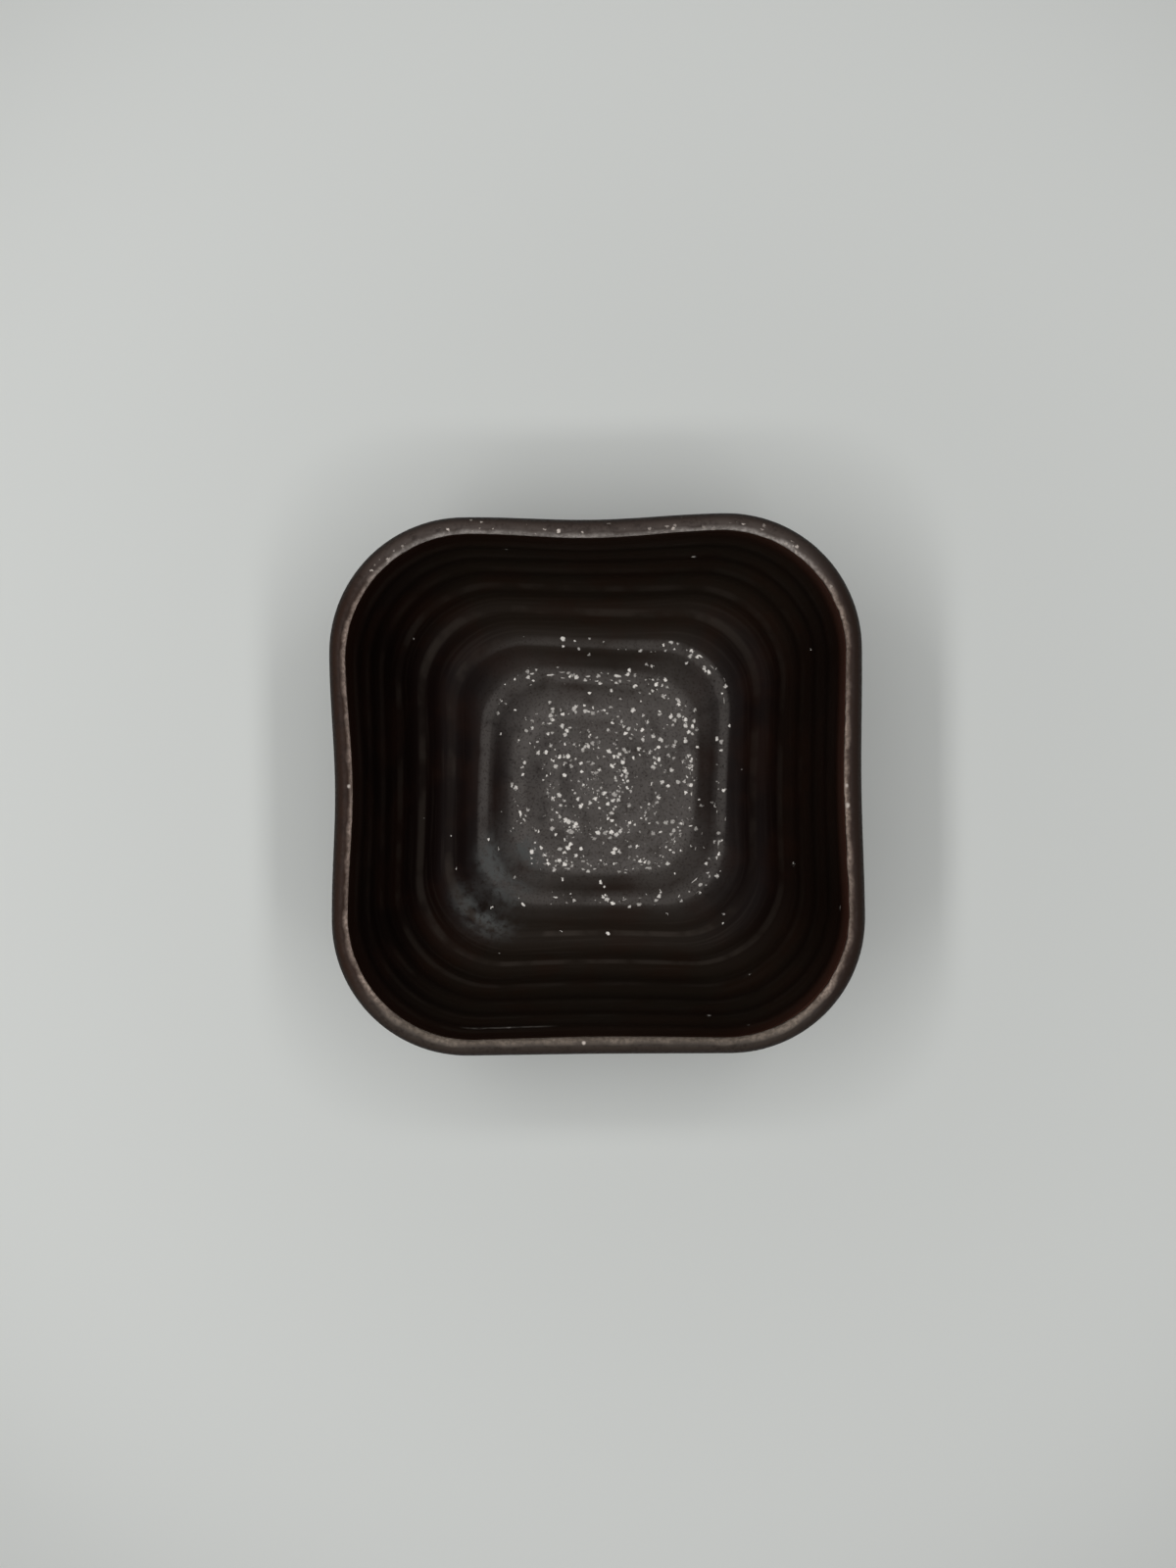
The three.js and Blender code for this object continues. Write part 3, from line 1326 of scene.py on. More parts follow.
@dataclass(frozen=True)
class LinerFinish:
    """Brown-black gloss that breaks rusty where it runs thin, hazed and speckled on the floor with painted
    sheen and painted glints, with painted light and shade on its walls.
    """

    deep: Colour = (0.0064, 0.0033, 0.0021)
    # painted light: the front and back walls lighter and greyer, as if lit by the stronger strips
    painted_front_back_light: Colour = (0.0107, 0.0073, 0.005)
    # painted shade for the left wall and the coves on the left and right
    shade: Colour = (0.0036, 0.0015, 0.0012)
    # painted highlight on the wall's crests, and the colour of the turning lines between them
    turned: Colour = (0.0275, 0.0213, 0.0172)
    rust: Colour = (0.0125, 0.0045, 0.0023)
    # rust of thin glaze under the lip, painted brighter on the right wall as light from the left
    lit_rust_fringe: Colour = (0.045, 0.018, 0.012)
    # partly real haze, partly painted sheen of the overhead light on the floor
    haze_and_sheen: Colour = (0.0785, 0.0705, 0.0655)
    scuff: Colour = (0.054, 0.0555, 0.054)
    # painted highlight of a ridge on the front wall
    ridge_highlight: Colour = (0.17, 0.155, 0.14)
    # painted glints of small pits in the glaze and of the ring's crests
    speck: Colour = (0.68, 0.645, 0.6)
    front_back_walls: Ease = Ease(0.45, 0.9)
    cove_start: Ease = Ease(26.0, 31.0)
    cove_end: Ease = Ease(54.0, 40.0)
    cove_sides: Ease = Ease(0.4, 0.9)
    left_shade: Ease = Ease(-0.45, -0.9, 0.0, 0.8)
    thin_length: float = 12.0
    lip_rust: float = 0.8
    rust_cloud: Cloud = Cloud(11.0, 0.42, 0.66)
    cloud_rust: float = 0.35
    lit_rust_fringe_length: float = 7.0
    lit_rust_fringe_side: Ease = Ease(0.3, 0.85)
    crest_highlights_and_lines: CrestHighlightsAndLines = CrestHighlightsAndLines()
    ridge_highlight_mark: RidgeHighlight = RidgeHighlight()
    floor: Floor = Floor()
    floor_haze_and_sheen: FloorHazeAndSheen = FloorHazeAndSheen()
    scuff_marks: Scuffs = Scuffs()
    glint_specks: GlintSpecks = GlintSpecks()
    gloss: float = 0.05
    sheen: Ease = Ease(60.0, 40.0, 0.4, 0.62)
    sheen_lines: Lines = Lines(0.9, 0.35)
    sheen_waver: Ease = Ease(0.3, 0.7, -0.04, 0.04)
    speck_roughness: float = 0.1
    line_relief: float = 0.6
    speck_relief: float = 0.6
    relief_cloud: Cloud = Cloud(0.9, 0.1, 2.5)
    relief_depth: float = 0.03

    def bare(self, finish: Finish, skin: Skin) -> Socket:
        """Mixes the bare glaze: painted shade on the left and in the side coves, painted light on the front
        and back walls, rusty where it is thin, and painted highlights on the wall.

        Args:
            finish: The finish in the making.
            skin: The section that the coat lies on.

        Returns:
            The colour.
        """
        shades = finish.shades
        ahead = shades.math("ABSOLUTE", finish.backward)
        # painted light on the front and back walls
        colour = shades.blend(shades.ease(ahead, self.front_back_walls), self.deep, self.painted_front_back_light)
        # painted shade in the coves on the left and right, as well as over the left wall
        cove = shades.product(
            shades.ease(finish.along, self.cove_start),
            shades.ease(finish.along, self.cove_end),
            shades.ease(shades.math("ABSOLUTE", finish.rightward), self.cove_sides),
        )
        leftward = shades.ease(finish.rightward, self.left_shade)
        colour = shades.blend(shades.highest(leftward, cove), colour, self.shade)
        lip_foot = skin.lip_start - self.thin_length
        lip = shades.span(finish.along, lip_foot, skin.lip_start, end=self.lip_rust)
        patches = shades.product(finish.cloud(self.rust_cloud), self.cloud_rust)
        colour = shades.blend(shades.highest(lip, patches), colour, self.rust)
        # rust fringe on the right wall, partly painted light from the stronger left strip
        edge = shades.span(finish.along, skin.lip_start - self.lit_rust_fringe_length, skin.lip_start)
        fringed = shades.product(edge, shades.ease(finish.rightward, self.lit_rust_fringe_side))
        colour = shades.blend(fringed, colour, self.lit_rust_fringe)
        # painted highlights along the crests, with the turning lines
        colour = shades.blend(self.crest_highlights_and_lines.mask(finish), colour, self.turned)
        # painted highlight along the front wall, under the lip
        return shades.blend(self.ridge_highlight_mark.mask(finish, skin), colour, self.ridge_highlight)

    def material(self, skin: Skin) -> bpy.types.Material:
        """Builds the finish.

        Args:
            skin: The section that the coat lies on.

        Returns:
            The material.
        """
        finish = Finish("liner_gloss")
        shades = finish.shades
        corners = self.floor.corners(finish)
        spread = self.floor.spread(finish, corners)
        hazed_and_sheened = self.floor_haze_and_sheen.mask(finish, spread, corners)
        # painted sheen over the floor, with some real haze
        colour = shades.blend(hazed_and_sheened, self.bare(finish, skin), self.haze_and_sheen)
        colour = shades.blend(self.scuff_marks.mask(finish), colour, self.scuff)
        # pale specks: painted glints over pits that also roughen and bump the glaze
        pale = self.glint_specks.mask(finish, spread)
        finish.colour(shades.blend(pale, colour, self.speck))

        finish.gloss(self.gloss)
        lines = finish.lines(self.sheen_lines)
        finish.roughness(shades.total(
            shades.ease(finish.along, self.sheen),
            shades.ease(lines, self.sheen_waver),
            shades.product(pale, self.speck_roughness),
        ))
        relief = shades.total(
            shades.product(lines, self.line_relief),
            finish.cloud(self.relief_cloud),
            shades.product(pale, self.speck_relief),
        )
        finish.bump(relief, self.relief_depth)
        return finish.material


@dataclass(frozen=True)
class RimBand:
    """The lip's thin glaze: brown, greyer in front and behind as painted light, dark on the right and at
    its outer edge as painted shade, and mottled.
    """

    brown: Colour = (0.0206, 0.0103, 0.0068)
    lit_grey: Colour = (0.034, 0.0265, 0.0217)
    # painted light: the paler grey at the back of the lip
    rubbed: Colour = (0.047, 0.036, 0.031)
    # painted shade on the right and at the outer edge, and the dark of the mottling
    dark: Colour = (0.0105, 0.0067, 0.0053)
    lit_grey_sides: Ease = Ease(36.0, 50.0)
    lit_grey_width: Ease = Ease(3.6, 1.2)
    lit_back_side: Ease = Ease(0.0, 40.0)
    shaded_right: Ease = Ease(30.0, 50.0, 0.0, 0.6)
    right_width: Ease = Ease(0.9, 1.4)
    shaded_edge: Ease = Ease(1.4, 3.4, 0.0, 0.85)
    mottle: Cloud = Cloud(3.0, 0.35, 0.65)
    grain: Cloud = Cloud(0.7, 0.3, 0.7)
    mottle_level: float = 0.6

    def colour(self, finish: Finish, across: Socket) -> Socket:
        """Mixes the band's colour.

        Args:
            finish: The finish in the making.
            across: The distance over the lip, from its inner edge.

        Returns:
            The colour.
        """
        shades = finish.shades
        ahead = shades.math("ABSOLUTE", finish.place_y)
        lit_sides = shades.product(
            shades.ease(ahead, self.lit_grey_sides), shades.ease(across, self.lit_grey_width)
        )
        lit_grey = shades.blend(shades.ease(finish.place_y, self.lit_back_side), self.lit_grey, self.rubbed)
        colour = shades.blend(lit_sides, self.brown, lit_grey)
        right = shades.product(
            shades.ease(finish.place_x, self.shaded_right), shades.ease(across, self.right_width)
        )
        mottled = shades.product(finish.cloud(self.mottle), finish.cloud(self.grain), self.mottle_level)
        # painted shade on the right and at the outer edge, mixed with real mottling
        shade_and_mottle = shades.highest(right, shades.ease(across, self.shaded_edge), mottled)
        return shades.blend(shade_and_mottle, colour, self.dark)


@dataclass(frozen=True)
class WornLineAndHighlight:
    """The pale line along the lip's inner edge, partly worn glaze and partly painted highlight: further out
    on the right, broad and soft in front.
    """

    # each side's line colour carries painted light: brightest on the left and at the back, dullest in front
    left: Colour = (0.5, 0.39, 0.33)
    right: Colour = (0.35, 0.275, 0.23)
    back: Colour = (0.44, 0.4, 0.37)
    front: Colour = (0.185, 0.15, 0.122)
    right_side: Ease = Ease(25.0, 48.0)
    back_side: Ease = Ease(36.0, 50.0)
    front_side: Ease = Ease(-36.0, -50.0)
    start: float = -0.1
    full: float = 0.25
    end: float = 1.0
    fade: float = 0.8
    front_width: float = 0.4
    right_shift: float = 0.25
    right_narrowing: float = 0.1
    wobble_cloud: Cloud = Cloud(4.0, 0.3, 0.7)
    wobble: Ease = Ease(0.0, 1.0, -0.1, 0.1)
    cloud: Cloud = Cloud(9.0, 0.3, 0.7)
    breaks: Ease = Ease(0.0, 1.0, 0.65, 1.0)
    grain: Cloud = Cloud(0.7, 0.3, 0.7)
    rubbing: Ease = Ease(0.0, 1.0, 0.5, 1.0)

    def colour(self, finish: Finish) -> Socket:
        """Mixes the line's colour, which each side of the lip has its own of, set by painted light.

        Args:
            finish: The finish in the making.

        Returns:
            The colour.
        """
        shades = finish.shades
        colour = shades.blend(shades.ease(finish.place_x, self.right_side), self.left, self.right)
        colour = shades.blend(shades.ease(finish.place_y, self.back_side), colour, self.back)
        return shades.blend(shades.ease(finish.place_y, self.front_side), colour, self.front)

    def mask(self, finish: Finish, across: Socket) -> Socket:
        """Marks the line.

        Args:
            finish: The finish in the making.
            across: The distance over the lip, from its inner edge.

        Returns:
            The mask.
        """
        shades = finish.shades
        right = shades.ease(finish.place_x, self.right_side)
        front = shades.ease(finish.place_y, self.front_side)
        shifted = shades.math("SUBTRACT", across, shades.product(right, self.right_shift))
        wander = shades.total(shifted, shades.ease(finish.cloud(self.wobble_cloud), self.wobble))
        broad_end = shades.math("MULTIPLY_ADD", front, self.front_width, self.end)
        end = shades.math("SUBTRACT", broad_end, shades.product(right, self.right_narrowing))
        return shades.product(
            shades.span(wander, self.start, self.full),
            shades.span(wander, end, shades.math("SUBTRACT", end, self.fade)),
            shades.ease(finish.cloud(self.cloud), self.breaks),
            shades.ease(finish.cloud(self.grain), self.rubbing),
        )


@dataclass(frozen=True)
class Nicks:
    """Small bright nicks in the lip: many along the back, a few single ones elsewhere."""

    back: Ease = Ease(30.0, 50.0, 0.03, 1.0)
    line_share: Ease = Ease(1.5, 0.9, 0.0, 0.55)
    band_share: Ease = Ease(3.4, 2.4, 0.0, 0.09)
    strewn: Speckle = Speckle(1.1, 1.0)
    single: tuple[Patch, ...] = (
        Patch((50.3, 0.3, 54.7), 0.2, 0.6),
        Patch((50.5, -3.7, 54.7), 0.25, 0.75),
        Patch((-50.4, 0.1, 54.7), 0.15, 0.55),
        Patch((-8.8, -51.3, 54.8), 0.2, 0.6),
        Patch((-2.7, -52.2, 54.9), 0.15, 0.55),
    )

    def mask(self, finish: Finish, across: Socket) -> Socket:
        """Marks the nicks.

        Args:
            finish: The finish in the making.
            across: The distance over the lip, from its inner edge.

        Returns:
            The mask.
        """
        shades = finish.shades
        on_lip = shades.highest(
            shades.ease(across, self.line_share), shades.ease(across, self.band_share)
        )
        share = shades.product(shades.ease(finish.place_y, self.back), on_lip)
        single = [shades.near(finish.place, patch) for patch in self.single]
        return shades.highest(finish.strewn(self.strewn, share), *single)


@dataclass(frozen=True)
class RimFinish:
    """Thin brown glaze over the lip with painted light and shade, worn through to a pale line along its
    inner edge that carries a painted highlight, with small nicks.
    """

    nick: Colour = (0.42, 0.37, 0.33)
    band: RimBand = RimBand()
    line: WornLineAndHighlight = WornLineAndHighlight()
    nicks: Nicks = Nicks()
    gloss: float = 0.09
    grain: Cloud = Cloud(0.7, 0.3, 0.7)
    roughness: Ease = Ease(0.0, 1.0, 0.5, 0.64)
    nick_relief: float = 0.8
    relief_depth: float = 0.025

    def material(self, skin: Skin) -> bpy.types.Material:
        """Builds the finish.

        Args:
            skin: The section that the coat lies on.

        Returns:
            The material.
        """
        finish = Finish("rim_satin")
        shades = finish.shades
        across = shades.math("SUBTRACT", finish.along, skin.lip_start)
        # the worn line, with its painted highlight
        worn = self.line.mask(finish, across)
        colour = shades.blend(worn, self.band.colour(finish, across), self.line.colour(finish))
        nicks = self.nicks.mask(finish, across)
        finish.colour(shades.blend(nicks, colour, self.nick))

        finish.gloss(self.gloss)
        grain = finish.cloud(self.grain)
        finish.roughness(shades.ease(grain, self.roughness))
        finish.bump(shades.total(grain, shades.product(nicks, self.nick_relief)), self.relief_depth)
        return finish.material


@dataclass(frozen=True)
class OutsideFinish:
    """Satin dark brown glaze, rusty where it thins out above the glaze line."""

    brown: Colour = (0.031, 0.0185, 0.0135)
    dark: Colour = (0.012, 0.0074, 0.0057)
    rust: Colour = (0.085, 0.043, 0.024)
    lines: Lines = Lines(1.4, 0.3)
    line_level: Ease = Ease(0.3, 0.7, 0.55, 1.0)
    cloud: Cloud = Cloud(12.0, 0.35, 0.68)
    thin_length: float = 6.0
    thin_level: Ease = Ease(0.0, 1.0, 0.35, 0.9)
    specks: Speckle = Speckle(1.6, 0.55)
    speck_share: float = 0.1
    speck_level: float = 0.4
    gloss: float = 0.2
    grain: Cloud = Cloud(0.8, 0.3, 0.7)
    roughness: Ease = Ease(0.0, 1.0, 0.36, 0.5)
    line_relief: float = 0.8
    grain_relief: float = 0.3
    relief_depth: float = 0.03

    def material(self, skin: Skin) -> bpy.types.Material:
        """Builds the finish.

        Args:
            skin: The section that the coat lies on.

        Returns:
            The material.
        """
        finish = Finish("outside_satin")
        shades = finish.shades
        lines = finish.lines(self.lines)
        cloud = finish.cloud(self.cloud)
        mixed = shades.product(cloud, shades.ease(lines, self.line_level))
        colour = shades.blend(mixed, self.dark, self.brown)
        thin = shades.product(
            shades.span(finish.along, skin.glaze_line - self.thin_length, skin.glaze_line),
            shades.ease(cloud, self.thin_level),
        )
        colour = shades.blend(thin, colour, self.rust)
        dots = shades.product(finish.strewn(self.specks, self.speck_share), self.speck_level)
        finish.colour(shades.blend(dots, colour, self.rust))

        finish.gloss(self.gloss)
        grain = finish.cloud(self.grain)
        finish.roughness(shades.ease(grain, self.roughness))
        relief = shades.total(
            shades.product(lines, self.line_relief), shades.product(grain, self.grain_relief)
        )
        finish.bump(relief, self.relief_depth)
        return finish.material


@dataclass(frozen=True)
class ClayFinish:
    """Bare fired stoneware with fine grog and dark iron specks."""

    name: str
    body: Colour
    toasted: Colour
    iron: Colour = (0.05, 0.033, 0.025)
    lines: Lines = Lines(0.7, 0.3)
    line_level: Ease = Ease(0.3, 0.7, 0.5, 1.0)
    toast: Cloud = Cloud(9.0, 0.35, 0.68)
    specks: Speckle = Speckle(1.2, 0.5)
    speck_share: float = 0.22
    speck_level: float = 0.8
    grog: Cloud = Cloud(0.5, 0.3, 0.7)
    roughness: Ease = Ease(0.0, 1.0, 0.77, 0.93)
    grog_relief: float = 0.7
    line_relief: float = 0.5
    relief_depth: float = 0.06

    def material(self) -> bpy.types.Material:
        """Builds the finish.

        Returns:
            The material.
        """
        finish = Finish(self.name)
        shades = finish.shades
        lines = finish.lines(self.lines)
        toast = shades.product(finish.cloud(self.toast), shades.ease(lines, self.line_level))
        colour = shades.blend(toast, self.body, self.toasted)
        dots = shades.product(finish.strewn(self.specks, self.speck_share), self.speck_level)
        finish.colour(shades.blend(dots, colour, self.iron))

        grog = finish.cloud(self.grog)
        finish.roughness(shades.ease(grog, self.roughness))
        relief = shades.total(
            shades.product(grog, self.grog_relief), shades.product(lines, self.line_relief)
        )
        finish.bump(relief, self.relief_depth)
        return finish.material


@dataclass
class Bowl:
    """The whole bowl: its section, its throwing ring and the wheel that throws its pieces."""

    mouth: Mouth = field(default_factory=Mouth)
    skin: Skin = field(init=False)
    ring: ThrowingRing = field(init=False)
    wheel: Wheel = field(init=False)

    def __post_init__(self) -> None:
        """Ties the section, the ring and the wheel together."""
        self.skin = Skin(self.mouth)
        self.ring = ThrowingRing(self.skin)
        self.wheel = Wheel(self.mouth, self.ring)

    def settle(self, piece: bpy.types.Object, node: str, slot: Slot, material: bpy.types.Material) -> None:
        """Puts a finished piece in the place of its node.

        Args:
            piece: The piece.
            node: The node that it stands for.
            slot: The material slot of the record that it takes; not used.
            material: Its finish.
        """
        piece.data.materials.append(material)
        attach(piece, "root")
        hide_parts(node)
        LOG.info("%s: %d faces in place of %s", piece.name, len(piece.data.polygons), node)

    def coat(self, name: str, back: Stretch, steps: int, relief: Relief) -> bpy.types.Object:
        """Lays a glaze coat over a stretch of the clay.

        Args:
            name: The coat's name.
            back: The stretch that its back lies along, just off the clay.
            steps: How many steps its face has.
            relief: The relief of its face.

        Returns:
            The coat.
        """
        face = Stretch(back.end, back.start, steps, self.skin.coat_reach)
        return self.wheel.throw(name, self.skin.path, [back, face], relief)

    def back(self, start: float, end: float, steps: int) -> Stretch:
        """Lays out the back of a glaze coat.

        Args:
            start: Where on the section it starts.
            end: Where it ends.
            steps: How many steps it has.

        Returns:
            The stretch.
        """
        return Stretch(start, end, steps, self.skin.glaze_bed, shown=False)


@dataclass
class Liner:
    """The gloss coat inside, which carries the throwing ring on its face."""

    bowl: Bowl
    finish: LinerFinish = LinerFinish()
    back_steps: int = 32
    steps: int = 240

    def build(self) -> None:
        """Makes the coat and dresses it."""
        skin = self.bowl.skin
        back = self.bowl.back(0.0, skin.lip_start, self.back_steps)
        piece = self.bowl.coat("liner", back, self.steps, self.bowl.ring.height)
        self.bowl.settle(piece, "liner_glaze", Slot.LINER, self.finish.material(skin))


@dataclass
class Rim:
    """The thin worn band over the lip, with a small old chip on its inner edge."""

    bowl: Bowl
    finish: RimFinish = RimFinish()
    back_steps: int = 16
    steps: int = 48
    chip_angle: float = -46.5
    chip_width: float = 2.6
    chip_depth: float = 0.35
    chip_across: float = 0.9
    chip_spread: float = 0.8

    def relief(self, along: float, angle: float) -> float:
        """Cuts the chip into the lip.

        Args:
            along: Distance along the section.
            angle: Direction round the axis.

        Returns:
            How far the face stands out, below 0 in the chip.
        """
        turned = (math.degrees(angle) - self.chip_angle + 180.0) % 360.0 - 180.0
        across = along - self.bowl.skin.lip_start - self.chip_across
        bite = math.exp(-(turned / self.chip_width) ** 2 - (across / self.chip_spread) ** 2)
        return -self.chip_depth * bite

    def build(self) -> None:
        """Makes the band and dresses it."""
        skin = self.bowl.skin
        back = self.bowl.back(skin.lip_start, skin.lip_end, self.back_steps)
        piece = self.bowl.coat("rim", back, self.steps, self.relief)
        self.bowl.settle(piece, "rim_glaze", Slot.RIM, self.finish.material(skin))


@dataclass
class Outside:
    """The satin coat outside, with faint throwing lines."""

    bowl: Bowl
    finish: OutsideFinish = OutsideFinish()
    back_steps: int = 24
    steps: int = 96
    line_pitch: float = 7.4
    line_depth: float = 0.09
    fade_length: float = 9.0

    def relief(self, along: float, angle: float) -> float:
        """Winds the faint throwing lines up the wall.

        Args:
            along: Distance along the section.
            angle: Direction round the axis.

        Returns:
            How far the face stands out, which is never above its coat.
        """
        skin = self.bowl.skin
        below_lip = along - skin.lip_end
        fade = smoothstep(below_lip, 0.0, self.fade_length)
        fade *= smoothstep(skin.glaze_line - along, 0.0, self.fade_length)
        turn = 2 * math.pi * below_lip / self.line_pitch + angle
        return -self.line_depth * fade * (1.0 - math.cos(turn))

    def build(self) -> None:
        """Makes the coat and dresses it."""
        skin = self.bowl.skin
        back = self.bowl.back(skin.lip_end, skin.glaze_line, self.back_steps)
        piece = self.bowl.coat("outside", back, self.steps, self.relief)
        self.bowl.settle(piece, "outer_glaze", Slot.OUTSIDE, self.finish.material(skin))


@dataclass
class Body:
    """The clay under the glaze, bare at the heel and underneath."""

    bowl: Bowl
    finish: ClayFinish = ClayFinish("bare_clay", body=(0.3, 0.21, 0.155), toasted=(0.24, 0.15, 0.1))
    inside_steps: int = 40
    lip_steps: int = 20
    wall_steps: int = 36
    heel_steps: int = 20
    underside_steps: int = 110
    mark_pitch: float = 2.6
    mark_depth: float = 0.07
    marked_radius: float = 21.0

    def relief(self, along: float, angle: float) -> float:
        """Cuts the trimming tool's spiral into the underside, inside the foot.

        Args:
            along: Distance along the section.
            angle: Direction round the axis.

        Returns:
            How far the face stands out, which is never above the clay.
        """
        from_axis = self.bowl.skin.path.length - along
        if from_axis > self.marked_radius:
            return 0.0
        fade = smoothstep(from_axis, 0.0, self.mark_pitch)
        fade *= smoothstep(self.marked_radius - from_axis, 0.0, self.mark_pitch)
        turn = 2 * math.pi * from_axis / self.mark_pitch + angle
        return -self.mark_depth * fade * (1.0 - math.cos(turn))

    def build(self) -> None:
        """Makes the body and dresses it."""
        skin = self.bowl.skin
        stretches = [
            Stretch(0.0, skin.lip_start, self.inside_steps),
            Stretch(skin.lip_start, skin.lip_end, self.lip_steps),
            Stretch(skin.lip_end, skin.glaze_line, self.wall_steps),
            Stretch(skin.glaze_line, skin.base, self.heel_steps),
            Stretch(skin.base, skin.path.length, self.underside_steps),
        ]
        piece = self.bowl.wheel.throw("clay_body", skin.path, stretches, self.relief)
        self.bowl.settle(piece, "stoneware_body", Slot.CLAY, self.finish.material())


@dataclass
class Foot:
    """The trimmed foot ring, tapered towards the table, with its bottom edges eased."""

    bowl: Bowl
    finish: ClayFinish = ClayFinish("foot_clay", body=(0.32, 0.225, 0.165), toasted=(0.25, 0.16, 0.11))
    radius: float = 29.0
    width: float = 5.5
    taper: float = 0.6
    edge: float = 0.9
    run_steps: int = 8

    @property
    def runs(self) -> list[list[Vector]]:
        """The ring's closed section in runs, counter-clockwise from its outer bottom edge."""
        inner = self.radius - self.width
        height = self.bowl.skin.foot_height
        eased = Vector((self.edge, self.edge))
        outer_edge = ellipse(Vector((self.radius - self.edge, self.edge)), eased, 270.0, 360.0)
        inner_edge = ellipse(Vector((inner + self.edge, self.edge)), eased, 180.0, 270.0)
        outer_top = Vector((self.radius + self.taper, height))
        inner_top = Vector((inner - self.taper, height))
        return [
            outer_edge,
            straight(outer_edge[-1], outer_top),
            straight(outer_top, inner_top),
            straight(inner_top, inner_edge[0]),
            inner_edge,
            straight(inner_edge[-1], outer_edge[0]),
        ]

    def relief(self, along: float, angle: float) -> float:
        """Leaves the foot plain."""
        return 0.0

    def build(self) -> None:
        """Makes the ring and dresses it."""
        runs = self.runs
        marks = list(accumulate((Path(run).length for run in runs), initial=0.0))
        stretches = [Stretch(start, end, self.run_steps) for start, end in pairwise(marks)]
        path = Path(list(chain.from_iterable(runs)))
        piece = self.bowl.wheel.throw("foot", path, stretches, self.relief)
        self.bowl.settle(piece, "foot_ring", Slot.FOOT, self.finish.material())


@dataclass
class PhotoCamera:
    """The camera as it hung over the bowl, from where things lie in a picture of 1200 by 1600 pixels."""

    picture_width: int = 1200
    picture_height: int = 1600
    focal_pixels: float = 1202.0
    sensor_size: float = 36.0
    plumb_pixel: tuple[float, float] = (616.0, 766.0)
    rim_pixel: tuple[float, float] = (609.3, 803.0)
    rim_height: float = 55.0
    height_over_rim: float = 238.4

    def sight(self, pixel: tuple[float, float]) -> Vector:
        """Finds the way to a pixel.

        Args:
            pixel: Its place in the picture, right and down.

        Returns:
            The direction in the camera's own axes: right, down and ahead, one ahead.
        """
        right = (pixel[0] - self.picture_width / 2) / self.focal_pixels
        down = (pixel[1] - self.picture_height / 2) / self.focal_pixels
        return Vector((right, down, 1.0))

    def place(self) -> None:
        """Hangs the camera and makes it the scene's own."""
        plumb = self.sight(self.plumb_pixel).normalized()
        right = Vector((1.0, 0.0, 0.0))
        axis_x = (right - right.dot(plumb) * plumb).normalized()
        axis_z = -plumb
        axis_y = axis_z.cross(axis_x)
        into_camera = Matrix((axis_x, axis_y, axis_z)).transposed()
        to_rim = self.sight(self.rim_pixel)
        to_rim *= self.height_over_rim / to_rim.dot(plumb)
        spot = Vector((0.0, 0.0, self.rim_height)) - into_camera.transposed() @ to_rim
        flipped = Matrix.Diagonal((1.0, -1.0, -1.0))
        turn = into_camera.transposed() @ flipped
        data = bpy.data.cameras.new("photo_camera")
        data.sensor_width = self.sensor_size
        data.lens = self.focal_pixels * self.sensor_size / self.picture_height
        data.clip_start = MM
        camera = bpy.data.objects.new("photo_camera", data)
        camera.matrix_world = Matrix.Translation(spot * MM) @ turn.to_4x4()
        bpy.context.scene.collection.objects.link(camera)
        bpy.context.scene.camera = camera


@dataclass(frozen=True)
class Strip:
    """One light strip over the table: its middle, the way it runs, and its power in watts."""

    x: float
    y: float
    run: Run
    power: float


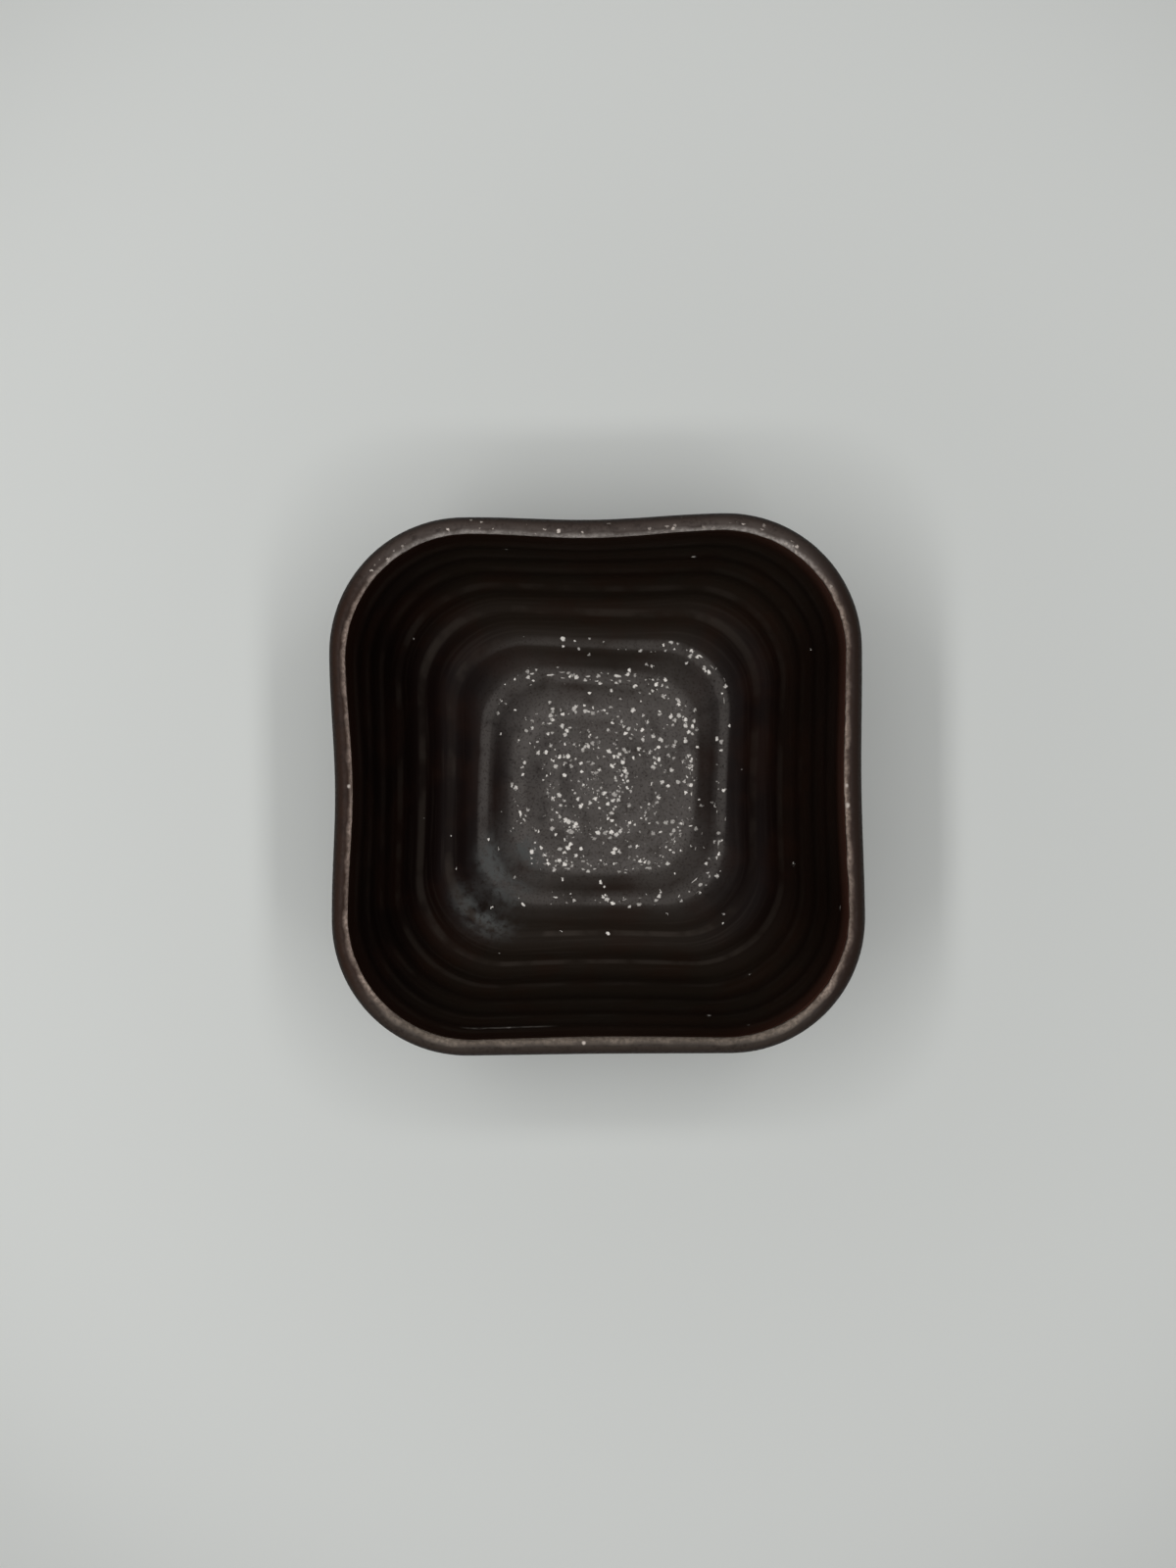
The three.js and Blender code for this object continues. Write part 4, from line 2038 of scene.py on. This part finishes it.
@dataclass
class LightBox:
    """A plain photo box: a pale floor, a ring of four light strips and a soft panel overhead."""

    floor_colour: Colour = (0.597, 0.611, 0.594)
    floor_roughness: float = 0.9
    floor_gloss: float = 0.1
    floor_size: float = 6000.0
    lit_radius: float = 60.0
    pale_radius: float = 230.0
    pale_glow: float = 0.3
    far_radius: float = 620.0
    far_glow: float = 0.56
    strip_height: float = 330.0
    strip_length: float = 240.0
    strip_width: float = 38.0
    strips: tuple[Strip, ...] = (
        Strip(101.0, 0.0, Run.ALONG_Y, 0.375),
        Strip(-122.0, 0.0, Run.ALONG_Y, 0.53),
        Strip(0.0, 121.0, Run.ALONG_X, 0.225),
        Strip(0.0, -115.0, Run.ALONG_X, 0.22),
    )
    panel_height: float = 345.0
    panel_size: float = 210.0
    panel_power: float = 0.02
    backdrop_colour: Colour = (0.52, 0.53, 0.515)
    backdrop_top: float = 28.0
    backdrop_end: float = 38.0
    ceiling_share: float = 0.06
    lit_share: float = 0.12

    def lamp(self, name: str, size: tuple[float, float], power: float, spot: Vector) -> None:
        """Hangs one light panel that faces down.

        Args:
            name: Its name.
            size: Its width and length.
            power: Its power in watts.
            spot: The place of its middle.
        """
        data = bpy.data.lights.new(name, "AREA")
        data.shape = "RECTANGLE"
        data.size = size[0] * MM
        data.size_y = size[1] * MM
        data.energy = power
        lamp = bpy.data.objects.new(name, data)
        lamp.location = spot * MM
        lamp.visible_camera = False
        bpy.context.scene.collection.objects.link(lamp)

    def hang_lights(self) -> None:
        """Hangs the four strips and the soft panel between them."""
        for number, strip in enumerate(self.strips):
            size = (self.strip_width, self.strip_length)
            if strip.run is Run.ALONG_X:
                size = size[::-1]
            spot = Vector((strip.x, strip.y, self.strip_height))
            self.lamp(f"strip_{number}", size, strip.power, spot)
        panel = (self.panel_size, self.panel_size)
        self.lamp("panel", panel, self.panel_power, Vector((0.0, 0.0, self.panel_height)))

    def lay_floor(self) -> None:
        """Lays the pale floor, which stays pale out of the lamps' reach."""
        shape = bmesh.new()
        bmesh.ops.create_grid(shape, x_segments=1, y_segments=1, size=self.floor_size / 2 * MM)
        mesh = bpy.data.meshes.new("table")
        shape.to_mesh(mesh)
        shape.free()
        floor = bpy.data.objects.new("table", mesh)
        bpy.context.scene.collection.objects.link(floor)
        finish = Finish("pale_paper")
        shades = finish.shades
        finish.colour(self.floor_colour)
        finish.roughness(self.floor_roughness)
        finish.gloss(self.floor_gloss)
        shades.feed(finish.shader.inputs["Emission Color"], self.floor_colour)
        away = shades.add("ShaderNodeVectorMath", operation="LENGTH")
        shades.feed(away.inputs[0], finish.place)
        distance = away.outputs["Value"]
        faint = shades.span(distance, self.lit_radius, self.pale_radius, end=self.pale_glow)
        far = shades.span(distance, self.pale_radius, self.far_radius, end=self.far_glow)
        glow = shades.product(shades.total(faint, far), shades.seen())
        shades.feed(finish.shader.inputs["Emission Strength"], glow)
        mesh.materials.append(finish.material)

    def light_world(self) -> None:
        """Stands a pale backdrop all round, which adds little light, under a dim ceiling."""
        world = bpy.data.worlds.new("room")
        world.use_nodes = True
        bpy.context.scene.world = world
        shades = Shades(world.node_tree)
        background = world.node_tree.nodes["Background"]
        shades.feed(background.inputs["Color"], self.backdrop_colour)
        way = shades.add("ShaderNodeTexCoord").outputs["Generated"]
        top = math.sin(math.radians(self.backdrop_top))
        end = math.sin(math.radians(self.backdrop_end))
        band = shades.span(shades.axis(way, 2), top, end, 1.0, self.ceiling_share)
        level = shades.highest(shades.seen(), self.lit_share)
        shades.feed(background.inputs["Strength"], shades.product(band, level))

    def build(self) -> None:
        """Sets up the whole box."""
        self.lay_floor()
        self.hang_lights()
        self.light_world()


def main() -> None:
    """Builds the bowl piece by piece, then the box that it is pictured in."""
    logging.basicConfig(level=logging.INFO, format="%(message)s")
    LOG.info("frame holds %s", ", ".join(sorted(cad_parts)))
    bpy.context.scene.view_settings.view_transform = "Standard"
    bowl = Bowl()
    for part in (Body(bowl), Foot(bowl), Outside(bowl), Rim(bowl), Liner(bowl)):
        part.build()
    LightBox().build()
    PhotoCamera().place()


if __name__ == "__main__":
    main()
